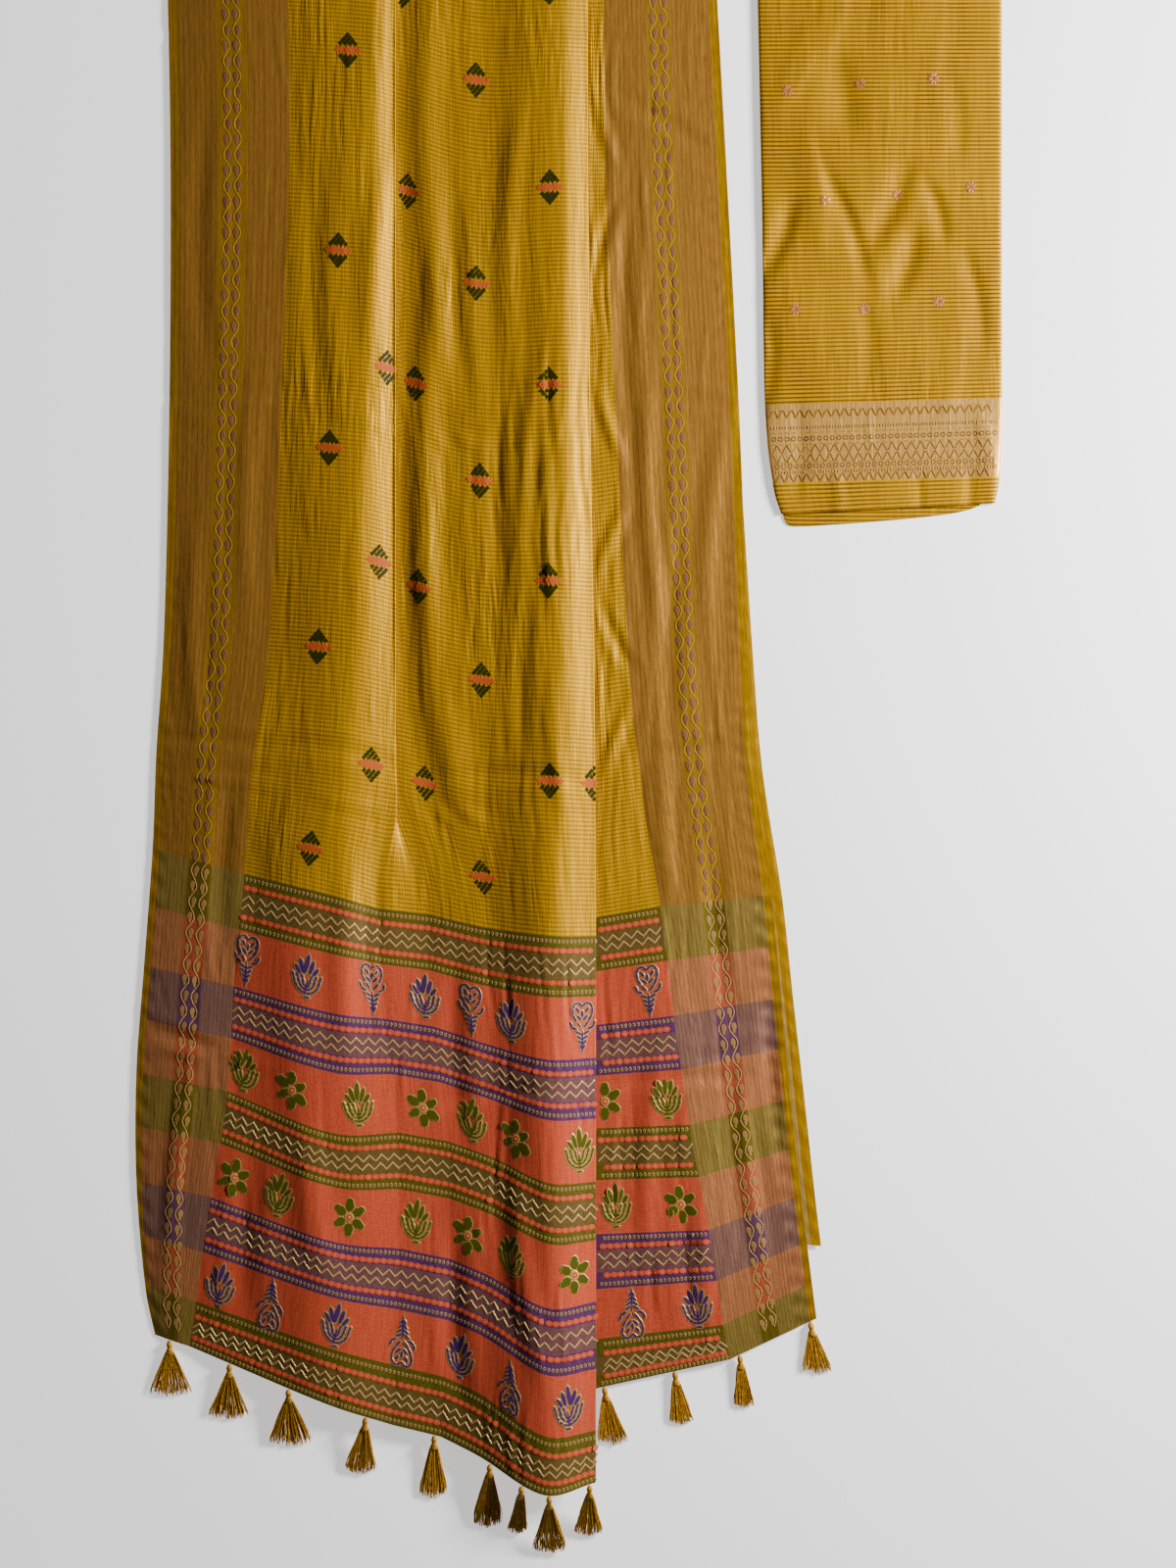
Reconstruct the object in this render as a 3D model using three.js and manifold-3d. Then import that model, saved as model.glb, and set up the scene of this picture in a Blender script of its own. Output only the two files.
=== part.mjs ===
// A gold tissue-silk saree laid flat: the front stretch with its striped pallu and
// tasselled hem uppermost, the rest folded under it, and its folded blouse piece beside it.
// Millimetres, +Z up, the surface it lies on is z = 0, hem towards -Y.
import * as THREE from "three";
import Module from "manifold-3d";

const WALL = 1.2; // cloth as it lies, with the float threads on its back
const SEAM = 0.3; // between neighbouring stretches
const PLY = 2.4; // from one ply to the next in a pleat
const LOOP = PLY / 2; // radius of a pleat's turn, at mid wall
const OPEN_RAMP = 60; // width over which an opened pleat steps down
const REST = 0.75; // lowest height of a wall's middle
const SHUT_DEPTH = 14; // a shallower pleat than this has begun to open
const BORDER_CROWN = 2.2; // soft crest along the left border
const CELLS = { border: 5, left: 6, middle: 9, right: 2 }; // across each panel
const OVER_TURN = 80; // degrees the cloth turns over at its top fold
const OVER_BULGE = 0.8; // how far the top fold stands out, by its height
const UNDER_CLEAR = 0.5; // between the cloth and the folded layers below
const UNDER_LOW = 1.2; // the folded layers' least and greatest height
const UNDER_HIGH = 16;
const UNDER_IN_LEFT = 22; // how far they stay in from the front's edges
const UNDER_IN_RIGHT = 14;
const UNDER_REACH = 36; // their top lies under the lowest cloth this far round
const UNDER_END = -677; // where the folded layers stop short of the hem

const STRIP_SHOWN = 18; // how far the second layer's edge comes out past the front's
const STRIP_HIDDEN = 5; // and how far it lies inside it near the top fold
const STRIP_SLANT = 0.12; // rise of its weft lines, by their length

const STRANDS = 15; // in one tassel
const STRAND_R = 0.62;
const STRAND_SIDES = 3;
const STRAND_TAPER = 0.25; // by which a strand thins to its end
const STRAND_TIER = 1.15; // half the distance between the two tiers of strands
const STRAND_ENDS = 2.4; // height where they come to rest
const HEAD_SIDES = 8;
const SKIRT_WIDE = 10; // of a tassel where its strands leave the head
const KNOT_R = 4.6;
const KNOT_TOP = 6; // from the knot's middle to the hem

const BLOUSE_STACK = 7.2; // height of the folded blouse piece

// Where the cloth's main lines lie, one row for each weft line from the top fold to the hem.
// edge: left selvedge, border: inner side of the left border, ridge1: crest left of pleat 1,
// pleat1: its folded edge, middle: half way over the middle panel, ridge2: crest by pleat 2,
// pleat2: its folded edge, right: start of the right panel, border2: inner side of the right
// border, edge2: right selvedge.
const COLUMNS = ["edge", "border", "ridge1", "pleat1", "middle", "ridge2", "pleat2", "right",
  "border2", "edge2"];
const ACROSS = {
  top:    [-523, -366, -252, -225, -122, -11, 23, 25, 44, 187],
  bust:   [-517, -362, -256, -225, -122, -10, 24, 26, 47, 204],
  waist:  [-518, -372, -268, -225, -119, -11, 27, 29, 61, 220],
  hip:    [-525, -387, -282, -225, -117, -13, 32, 34, 77, 232],
  knee:   [-535, -408, -296, -224, -114, -18, 33, 35, 94, 241],
  pallu:  [-540, -420, -304, -215, -108, -26, 34, 36, 117, 262],
  band2:  [-551, -434, -306, -207, -103, -30, 34, 36, 135, 274],
  band3:  [-561, -442, -304, -189, -97, -27, 34, 36, 155, 287],
  band4:  [-561, -464, -303, -187, -103, -28, 34, 36, 180, 300],
  band5:  [-550, -483, -304, -194, -113, -31, 34, 36, 199, 314],
  hem:    [-537, -491, -308, -198, -116, -32, 34, 36, 208, 320],
};
const ALONG = {
  top:    [1066, 1066, 1055, 1050, 1026, 1022, 1022, 1022, 1022, 1024],
  bust:   [755, 755, 746, 739, 709, 709, 709, 709, 709, 714],
  waist:  [438, 435, 427, 418, 389, 389, 389, 389, 394, 407],
  hip:    [133, 125, 115, 102, 77, 72, 69, 72, 79, 97],
  knee:   [-27, -35, -48, -60, -86, -93, -96, -86, -76, -55],
  pallu:  [-154, -187, -215, -232, -256, -266, -267, -243, -229, -214],
  band2:  [-305, -332, -366, -374, -407, -425, -424, -382, -370, -347],
  band3:  [-444, -468, -521, -521, -553, -584, -584, -516, -511, -478],
  band4:  [-584, -605, -661, -671, -705, -745, -739, -653, -647, -603],
  band5:  [-718, -740, -800, -822, -859, -910, -905, -789, -770, -716],
  hem:    [-784, -799, -873, -899, -939, -986, -972, -853, -815, -763],
};
const HEIGHT = {
  top:    [3, 11, 20, 14.5, 13, 24, 17.5, 8.5, 9, 7],
  bust:   [3, 12, 23, 15, 13.5, 27, 18, 8.5, 9.5, 7],
  waist:  [3, 13, 26, 15.5, 14, 30, 19, 8.5, 10, 7],
  hip:    [3, 13, 28, 15.5, 15, 32, 19.5, 8.5, 10, 7],
  knee:   [3, 13, 28, 15.5, 15.5, 33, 20, 8.5, 10, 7],
  pallu:  [3, 12, 27, 15.5, 17, 35, 21, 8.5, 10, 7],
  band2:  [3, 12, 27, 16, 18.5, 37, 22, 9, 10, 7],
  band3:  [3, 12, 27, 16.5, 19.5, 39, 23, 9, 10.5, 7],
  band4:  [3, 11, 27, 16.5, 20, 40, 24, 9, 10.5, 7],
  band5:  [2, 8, 25, 15.5, 20, 40, 25, 6, 7, 5],
  hem:    [1, 5, 22, 14, 20, 39, 26, 4, 5, 3],
};
// The two long pleats: how deep each is, and the height of the valley beside the first.
const PLEATS = {
  top:    { depth1: 97, depth2: 105, valley: 8 },
  bust:   { depth1: 90, depth2: 97, valley: 8.5 },
  waist:  { depth1: 79, depth2: 89, valley: 8.5 },
  hip:    { depth1: 42, depth2: 71, valley: 8.5 },
  knee:   { depth1: 15, depth2: 61, valley: 9 },
  pallu:  { depth1: 0, depth2: 57, valley: 10.5 },
  band2:  { depth1: 0, depth2: 57, valley: 13 },
  band3:  { depth1: 0, depth2: 58, valley: 14.5 },
  band4:  { depth1: 0, depth2: 60, valley: 15 },
  band5:  { depth1: 0, depth2: 62, valley: 14 },
  hem:    { depth1: 0, depth2: 64, valley: 12.5 },
};
// Rows of the mesh between one weft line and the next.
const ROWS = { top: 3, bust: 3, waist: 2, hip: 2, knee: 5, pallu: 2, band2: 2, band3: 2,
  band4: 2, band5: 1 };

// Tassels along the hem, left to right: where each is knotted on, its length, lean and spread.
const TASSELS = [
  { x: -518, long: 68, lean: 2, wide: 54 },
  { x: -440, long: 68, lean: -2, wide: 51 },
  { x: -363, long: 71, lean: 2, wide: 55 },
  { x: -264, long: 71, lean: -8, wide: 40 },
  { x: -175, long: 78, lean: -2, wide: 34 },
  { x: -103, long: 81, lean: -4, wide: 36 },
  { x: -62, long: 62, lean: -6, wide: 26 },
  { x: -26, long: 76, lean: 0, wide: 41 },
  { x: 26, long: 65, lean: -2, wide: 38 },
  { x: 46, long: 70, lean: 11, wide: 38 },
  { x: 137, long: 64, lean: 9, wide: 32 },
  { x: 221, long: 64, lean: 6, wide: 26 },
  { x: 313, long: 62, lean: 9, wide: 41 },
];

// Smooth curve through values at the given places.
function through(places, values, at) {
  const last = places.length - 1;
  let k = 0;
  while (k < last - 1 && at > places[k + 1]) k += 1;
  const slope = (i) => {
    const a = Math.max(0, i - 1), b = Math.min(last, i + 1);
    return (values[b] - values[a]) / (places[b] - places[a]);
  };
  const span = places[k + 1] - places[k];
  const t = (at - places[k]) / span, t2 = t * t, t3 = t2 * t;
  return values[k] * (2 * t3 - 3 * t2 + 1) + slope(k) * span * (t3 - 2 * t2 + t)
    + values[k + 1] * (3 * t2 - 2 * t3) + slope(k + 1) * span * (t3 - t2);
}

const LINES = Object.keys(ACROSS);
const lineAt = LINES.map((_, i) => i);
const column = (table, name, line) =>
  through(lineAt, LINES.map((n) => table[n][COLUMNS.indexOf(name)]), line);
const pleat = (name, line) => through(lineAt, LINES.map((n) => PLEATS[n][name]), line);

// A stretch of one weft line through named columns, in `cells` even steps.
function stretch(knots, cells) {
  const places = [0];
  for (let i = 1; i < knots.length; i += 1)
    places.push(places[i - 1] + Math.abs(knots[i].x - knots[i - 1].x) + 0.01);
  const end = places[places.length - 1];
  return Array.from({ length: cells + 1 }, (_, i) => {
    const at = (end * i) / cells;
    return new THREE.Vector3(...["x", "y", "z"].map((c) =>
      through(places, knots.map((k) => k[c]), at)));
  });
}

// The hidden path of a pleat from its folded edge back under and forward again.
function fold(from, to, depth) {
  const shut = THREE.MathUtils.smoothstep(depth, 0, SHUT_DEPTH);
  const path = [];
  const bend = [90, 45, 0, -45, -90], back = [90, 135, 180, 225, 270];
  const polar = (cx, cz, deg) => [cx + LOOP * Math.cos((deg * Math.PI) / 180),
    cz + LOOP * Math.sin((deg * Math.PI) / 180)];
  for (const deg of bend) path.push(polar(from.edge - LOOP, from.z - LOOP, deg));
  const inner = from.edge - depth + LOOP;
  const start = path[path.length - 1], stop = [inner, to.z + PLY];
  for (const part of [0.25, 0.5, 0.75])
    path.push([start[0] + (stop[0] - start[0]) * part, start[1] + (stop[1] - start[1]) * part]);
  for (const deg of back) path.push(polar(inner, to.z + LOOP, deg));
  path.push([(inner + to.x) / 2, to.z]);
  path.push([to.x, to.z]);
  const last = path.length - 1, run = [0];
  for (let i = 1; i <= last; i += 1)
    run.push(run[i - 1] + Math.hypot(path[i][0] - path[i - 1][0], path[i][1] - path[i - 1][1]));
  return path.map(([x, z], i) => {
    const s = i / last, ease = s * s * (3 - 2 * s);
    const along = shut * (run[i] / run[last]) + (1 - shut) * s;
    return new THREE.Vector3(shut * x + (1 - shut) * (from.x + (to.x - from.x) * s),
      from.y + (to.y - from.y) * along,
      shut * z + (1 - shut) * (from.z + (to.z - from.z) * ease));
  });
}

// The step of a fold's path where its two panels meet, for the third and fifth parts.
const SEAM_STEP = { 2: 13, 4: 6 };

// One weft line of the front, from selvedge to selvedge, with the places of its seams.
function weft(line) {
  const at = (name) => new THREE.Vector3(column(ACROSS, name, line),
    column(ALONG, name, line), column(HEIGHT, name, line));
  const d1 = Math.max(0, pleat("depth1", line)), d2 = pleat("depth2", line);
  const open = 1 - THREE.MathUtils.smoothstep(d1, 0, SHUT_DEPTH);
  const edge1 = at("pleat1"), edge2 = at("pleat2"), middle = at("middle");
  const end1 = edge1.clone(), start1 = edge1.clone();
  end1.x -= LOOP + (open * OPEN_RAMP) / 2;
  start1.x += 2 + (open * OPEN_RAMP) / 2;
  start1.z = pleat("valley", line);
  start1.y += ((middle.y - edge1.y) * (start1.x - edge1.x)) / (middle.x - edge1.x);
  const end2 = edge2.clone();
  end2.x -= LOOP;
  const parts = [
    stretch([at("edge"), at("border")], CELLS.border),
    stretch([at("border"), at("ridge1"), end1], CELLS.left),
    fold({ x: end1.x, y: end1.y, z: end1.z, edge: edge1.x }, start1, d1),
    stretch([start1, middle, at("ridge2"), end2], CELLS.middle),
    fold({ x: end2.x, y: end2.y, z: end2.z, edge: edge2.x }, at("right"), d2),
    stretch([at("right"), at("border2")], CELLS.right),
    stretch([at("border2"), at("edge2")], CELLS.border),
  ];
  parts[0].forEach((p, i) => {
    p.z += BORDER_CROWN * Math.sin((Math.PI * i) / CELLS.border);
  });
  const points = [], seams = [0];
  parts.forEach((p, i) => {
    const half = SEAM_STEP[i]; // two panels meet inside the pleat between them
    p.forEach((q, j) => {
      if (j > 0 || i === 0) points.push(q);
      if (j === half) seams.push(points.length - 1);
    });
    if (i === 0 || i === 5) seams.push(points.length - 1);
  });
  seams.push(points.length - 1);
  return { points, seams };
}

// All rows of the front, the top fold turned over to the surface first.
const rows = [];
let palluRow = 0, seams = [];
LINES.forEach((name, i) => {
  const steps = ROWS[name] ?? 1;
  if (name === "pallu") palluRow = rows.length;
  for (let k = 0; k < steps; k += 1) {
    const made = weft(i + k / steps);
    seams = made.seams;
    rows.push(made.points);
  }
});
const OVER_STEPS = [OVER_TURN, 60, 40, 20];
const turned = OVER_STEPS.map((deg) => rows[0].map((p) => {
  const a = (deg * Math.PI) / 180, high = p.z - REST;
  return new THREE.Vector3(p.x, p.y + high * OVER_BULGE * Math.sin(a),
    REST + high * Math.cos(a));
}));
rows.unshift(...turned);
palluRow += turned.length;

const normalAt = (grid, i, j) => {
  const up = grid[Math.max(0, i - 1)][j], down = grid[Math.min(grid.length - 1, i + 1)][j];
  const left = grid[i][Math.max(0, j - 1)];
  const right = grid[i][Math.min(grid[i].length - 1, j + 1)];
  return down.clone().sub(up).cross(right.clone().sub(left)).normalize();
};

const group = new THREE.Group();
const colours = { gold: 0xc89a28, zari: 0xc09058, coral: 0xd06048, tassel: 0xa87820 };
function place(name, colour, positions, index) {
  const geometry = new THREE.BufferGeometry();
  geometry.setAttribute("position", new THREE.Float32BufferAttribute(positions, 3));
  geometry.setIndex(index);
  const mesh = new THREE.Mesh(geometry, new THREE.MeshStandardMaterial({ color: colour }));
  mesh.name = name;
  group.add(mesh);
}

// Triangles of a flat outline, counter-clockwise from above.
const flatFace = (outline) => THREE.ShapeUtils.triangulateShape(outline, []).map(([a, b, c]) => {
  const [p, q, r] = [outline[a], outline[b], outline[c]];
  const turn = (q.x - p.x) * (r.y - p.y) - (q.y - p.y) * (r.x - p.x);
  return turn > 0 ? [a, b, c] : [a, c, b];
});

// A closed wall over a part of a grid of points; `held` sides are drawn in for a seam.
function wall(name, colour, grid, [i0, i1], [j0, j1], held) {
  const wide = j1 - j0 + 1, tall = i1 - i0 + 1, outer = [], inner = [];
  for (let i = i0; i <= i1; i += 1)
    for (let j = j0; j <= j1; j += 1) {
      const p = grid[i][j].clone(), n = normalAt(grid, i, j);
      const draw = (q) => p.add(q.clone().sub(grid[i][j]).setLength(SEAM / 2));
      if (i === i0 && held.top) draw(grid[i + 1][j]);
      if (i === i1 && held.bottom) draw(grid[i - 1][j]);
      if (j === j0 && held.left) draw(grid[i][j + 1]);
      if (j === j1 && held.right) draw(grid[i][j - 1]);
      outer.push(p.clone().addScaledVector(n, WALL / 2));
      inner.push(p.clone().addScaledVector(n, -WALL / 2));
    }
  const positions = [...outer, ...inner].flatMap((p) => [p.x, p.y, Math.max(p.z, 0.05)]);
  const index = [], under = wide * tall;
  const quad = (a, b, c, d) => index.push(a, b, c, a, c, d);
  for (let i = 0; i < tall - 1; i += 1)
    for (let j = 0; j < wide - 1; j += 1) {
      const a = i * wide + j;
      quad(a, a + wide, a + wide + 1, a + 1);
      quad(under + a, under + a + 1, under + a + wide + 1, under + a + wide);
    }
  const rim = [];
  for (let j = 0; j < wide - 1; j += 1) rim.push(j);
  for (let i = 0; i < tall - 1; i += 1) rim.push(i * wide + wide - 1);
  for (let j = wide - 1; j > 0; j -= 1) rim.push((tall - 1) * wide + j);
  for (let i = tall - 1; i > 0; i -= 1) rim.push(i * wide);
  rim.forEach((a, k) => {
    const b = rim[(k + 1) % rim.length];
    quad(a, b, under + b, under + a);
  });
  place(name, colour, positions, index);
}

const bottomRow = rows.length - 1;
const NAMES = ["border_left", "field_left", "field_middle", "field_right", "border_right"];
NAMES.forEach((name, k) => {
  const across = [seams[k], seams[k + 1]];
  const sides = { left: k > 0, right: k < NAMES.length - 1 };
  const zari = name.startsWith("border");
  wall(name, zari ? colours.zari : colours.gold, rows, [0, palluRow], across,
    { ...sides, bottom: true });
  wall(`pallu_${name}`, zari ? colours.zari : colours.coral, rows, [palluRow, bottomRow],
    across, { ...sides, top: true });
});

// The second layer's selvedge strip, which shows past the front's right edge.
const STRIP = [{ dx: -62, high: 4 }, { dx: -40, high: 4 }, { dx: -18, high: 4 },
  { dx: -4, high: 3.9 }, { dx: 0, high: 3.4 }];
const STRIP_TOP_IN = 12; // its first row lies this far below the front's
const stripRows = rows.slice(turned.length).map((row) => row[row.length - 1])
  .filter((p) => p.y > UNDER_END + 4).map((p, i) => {
    const y = i === 0 ? p.y - STRIP_TOP_IN : p.y;
    const shown = (STRIP_SHOWN + 2) * THREE.MathUtils.smoothstep(800 - y, 200, 1400) - 2;
    const inside = (STRIP_HIDDEN - 2) * (1 - THREE.MathUtils.smoothstep(800 - y, 250, 700));
    return STRIP.map(({ dx, high }) => new THREE.Vector3(p.x + dx + shown - inside,
      y - dx * STRIP_SLANT, high));
  });
wall("second_layer_edge", colours.zari, stripRows, [0, stripRows.length - 1],
  [0, STRIP.length - 1], {});

// Lowest underside of the cloth above each place, on a fine net of cells.
const CELL = 6, lowest = new Map();
const cellOf = (x, y) => `${Math.round(x / CELL)},${Math.round(y / CELL)}`;
for (const grid of [rows, stripRows])
  for (let i = 0; i < grid.length - 1; i += 1)
    for (let j = 0; j < grid[i].length - 1; j += 1)
      for (let u = 0; u <= 1; u += 1 / 18)
        for (let v = 0; v <= 1; v += 1 / 6) {
          const a = grid[i][j].clone().lerp(grid[i + 1][j], u);
          const p = a.lerp(grid[i][j + 1].clone().lerp(grid[i + 1][j + 1], u), v);
          const key = cellOf(p.x, p.y);
          lowest.set(key, Math.min(lowest.get(key) ?? 99, p.z));
        }
function clearAbove(x, y, reach) {
  let z = 99;
  for (let dx = -reach; dx <= reach; dx += CELL)
    for (let dy = -reach; dy <= reach; dy += CELL)
      z = Math.min(z, lowest.get(cellOf(x + dx, y + dy)) ?? 99);
  return z;
}

// The folded layers below share one rounded body, its plies showing at the edges.
const UNDER_COLS = 24;
const UNDER_ROWS = 20;
const UNDER_STRAIGHT = 1000; // above this their sides run straight
const UNDER_TOP = [{ across: 0, y: 1060 }, { across: 0.2, y: 1054 }, { across: 0.45, y: 1020 },
  { across: 1, y: 1018 }];
const sideOf = (y, side) => {
  const k = Math.max(1, rows.findIndex((row) => row[side(row)].y < y));
  const a = rows[k - 1][side(rows[k - 1])], b = rows[k][side(rows[k])];
  return a.x + ((b.x - a.x) * (y - a.y)) / (b.y - a.y);
};
const underRows = Array.from({ length: UNDER_ROWS + 1 }, (_, i) =>
  Array.from({ length: UNDER_COLS + 1 }, (_, j) => {
    const t = j / UNDER_COLS, down = i / UNDER_ROWS;
    const top = through(UNDER_TOP.map((p) => p.across), UNDER_TOP.map((p) => p.y), t);
    const y = top + (UNDER_END - top) * down;
    const level = Math.min(y, UNDER_STRAIGHT);
    const left = sideOf(level, () => 0) + UNDER_IN_LEFT;
    const right = sideOf(level, (row) => row.length - 1) - UNDER_IN_RIGHT;
    const x = left + (right - left) * t;
    const z = clearAbove(x, y, UNDER_REACH) - WALL / 2 - UNDER_CLEAR;
    return new THREE.Vector3(x, y, THREE.MathUtils.clamp(z, UNDER_LOW, UNDER_HIGH));
  }));
{
  const positions = [], index = [], wide = UNDER_COLS + 1, tall = underRows.length;
  underRows.forEach((row) => row.forEach((p) => positions.push(p.x, p.y, p.z)));
  const quad = (a, b, c, d) => index.push(a, b, c, a, c, d);
  for (let i = 0; i < tall - 1; i += 1)
    for (let j = 0; j < wide - 1; j += 1) {
      const a = i * wide + j;
      quad(a, a + wide, a + wide + 1, a + 1);
    }
  const rim = [];
  for (let j = 0; j < wide - 1; j += 1) rim.push(j);
  for (let i = 0; i < tall - 1; i += 1) rim.push(i * wide + wide - 1);
  for (let j = wide - 1; j > 0; j -= 1) rim.push((tall - 1) * wide + j);
  for (let i = tall - 1; i > 0; i -= 1) rim.push(i * wide);
  const flat = rim.map((a) => underRows[Math.floor(a / wide)][a % wide]);
  const count = rim.length, middle = flat.map((p, k) => {
    const a = flat[(k + count - 1) % count], b = flat[(k + 1) % count];
    return new THREE.Vector2(a.y - b.y, b.x - a.x).normalize();
  });
  const PLIES = [{ high: 0.62, out: 2.2 }, { high: 0.5, out: 0.6 }, { high: 0.25, out: 2.6 },
    { high: 0, out: 1.2 }];
  const rings = PLIES.map(({ high, out }) => flat.map((p, k) => {
    positions.push(p.x + middle[k].x * out, p.y + middle[k].y * out, p.z * high);
    return positions.length / 3 - 1;
  }));
  let above = rim;
  rings.forEach((ring) => {
    ring.forEach((a, k) => {
      const n = (k + 1) % count;
      quad(above[k], above[n], ring[n], ring[k]);
    });
    above = ring;
  });
  const base = rings[rings.length - 1];
  const outline = base.map((a) => new THREE.Vector2(positions[a * 3], positions[a * 3 + 1]));
  for (const [a, b, c] of flatFace(outline)) index.push(base[a], base[c], base[b]);
  place("under_layers", colours.gold, positions, index);
}

// The blouse piece, folded in four: one row for each line across it, from top to bottom.
const BLOUSE = [
  { line: "top", left: 241, right: 560, leftY: 1060, rightY: 1060, rows: 4 },
  { line: "upper", left: 249, right: 560, leftY: 680, rightY: 682, rows: 3 },
  { line: "border", left: 253, right: 560, leftY: 420, rightY: 429, rows: 2 },
  { line: "band", left: 263, right: 557, leftY: 319, rightY: 328, rows: 1 },
  { line: "end", left: 274, right: 551, leftY: 279, rightY: 293, rows: 1 },
];
// Across a folded edge: how far in from it and how high the cloth's middle is.
const ROLL = [{ inward: 0.6, high: 0.16 }, { inward: 0.4, high: 0.5 }, { inward: 1.4, high: 0.82 },
  { inward: 5, high: 0.96 }, { inward: 16, high: 1 }];
const blouseRow = (line, drop) => {
  const at = (name) => through(BLOUSE.map((_, i) => i), BLOUSE.map((b) => b[name]), line);
  const left = at("left"), right = at("right"), leftY = at("leftY"), rightY = at("rightY");
  const places = [...ROLL.map((r) => [left + r.inward, r.high]),
    ...[0.25, 0.5, 0.75].map((t) => [left + (right - left) * t, 1]),
    ...[...ROLL].reverse().map((r) => [right - r.inward, r.high])];
  return places.map(([x, high]) => new THREE.Vector3(x,
    leftY + ((rightY - leftY) * (x - left)) / (right - left),
    Math.max(REST, (BLOUSE_STACK - drop) * high)));
};
const BLOUSE_END_DROP = 0.8; // its lower end lies this much lower
const blouse = [], blouseSeams = [];
BLOUSE.forEach((b, i) => {
  blouseSeams.push(blouse.length);
  const steps = i === BLOUSE.length - 1 ? 1 : b.rows;
  const drop = i === BLOUSE.length - 1 ? BLOUSE_END_DROP : 0;
  for (let k = 0; k < steps; k += 1) blouse.push(blouseRow(i + k / steps, drop));
});
const blouseTurned = [OVER_TURN, 54, 27].map((deg) => blouse[0].map((p) => {
  const a = (deg * Math.PI) / 180, high = p.z - REST;
  return new THREE.Vector3(p.x, p.y + high * OVER_BULGE * Math.sin(a),
    REST + high * Math.cos(a));
}));
blouse.unshift(...blouseTurned);
const cut = blouseSeams.map((s) => s + blouseTurned.length);
const blouseWide = [0, blouse[0].length - 1];
wall("blouse_field", colours.gold, blouse, [0, cut[2]], blouseWide, { bottom: true });
wall("blouse_border", colours.zari, blouse, [cut[2], cut[3]], blouseWide,
  { top: true, bottom: true });
wall("blouse_band", colours.gold, blouse, [cut[3], cut[4]], blouseWide, { top: true });

// Its inner folds: one body with the plies at its edges, longer than the top by one edge.
{
  const RISE = [{ high: 0, inward: 1.2 }, { high: 0.22, inward: 0 }, { high: 0.44, inward: 0.9 },
    { high: 0.56, inward: 0.9 }, { high: 0.78, inward: 0 }, { high: 1, inward: 1.6 }];
  const tall = BLOUSE_STACK - WALL / 2 - UNDER_CLEAR;
  const outline = [[278, 264], [286, 261.5], [400, 269], [522, 281], [543, 297], [550, 328],
    [554.5, 600], [554.5, 1056], [246, 1056], [254, 680], [258, 420], [268, 319]];
  const centre = new THREE.Vector2(405, 660);
  const TOP_PLY_END = 300;
  const positions = [], index = [], n = outline.length;
  RISE.forEach(({ high, inward }) => outline.forEach(([x, y]) => {
    const way = new THREE.Vector2(Math.sign(centre.x - x), Math.sign(centre.y - y));
    const low = y < TOP_PLY_END ? 0.55 : 1; // only the inner plies reach past the top one
    positions.push(x + way.x * inward, y + way.y * inward, tall * high * low);
  }));
  for (let r = 0; r < RISE.length - 1; r += 1)
    for (let k = 0; k < n; k += 1) {
      const a = r * n + k, b = r * n + ((k + 1) % n);
      index.push(a, b, b + n, a, b + n, a + n);
    }
  const ring = outline.map(([x, y]) => new THREE.Vector2(x, y));
  const lid = (RISE.length - 1) * n;
  for (const [a, b, c] of flatFace(ring)) {
    index.push(a, c, b);
    index.push(lid + a, lid + b, lid + c);
  }
  place("blouse_inner_folds", colours.gold, positions, index);
}

// Tassels: a tied knot with a flattened skirt, and strands that droop to the surface.
const wasm = await Module();
wasm.setup();
const solid = (positions, index) => {
  const made = new wasm.Manifold(new wasm.Mesh({ numProp: 3,
    vertProperties: new Float32Array(positions), triVerts: new Uint32Array(index) }));
  return made;
};
// A closed tube of `sides` through rings of { centre, wide, high } that face along -Y.
function tube(rings, sides) {
  const positions = [], index = [];
  rings.forEach(({ x, y, z, wide, high }) => {
    for (let s = 0; s < sides; s += 1) {
      const a = (2 * Math.PI * (s + (sides > 3 ? 0.5 : 0))) / sides + Math.PI / 2;
      positions.push(x + wide * Math.cos(a), y, z + high * Math.sin(a));
    }
  });
  for (let r = 0; r < rings.length - 1; r += 1)
    for (let s = 0; s < sides; s += 1) {
      const a = r * sides + s, b = r * sides + ((s + 1) % sides);
      index.push(a, b, b + sides, a, b + sides, a + sides);
    }
  const last = (rings.length - 1) * sides;
  for (let s = 1; s < sides - 1; s += 1) {
    index.push(0, s + 1, s);
    index.push(last, last + s, last + s + 1);
  }
  return solid(positions, index);
}
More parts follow.
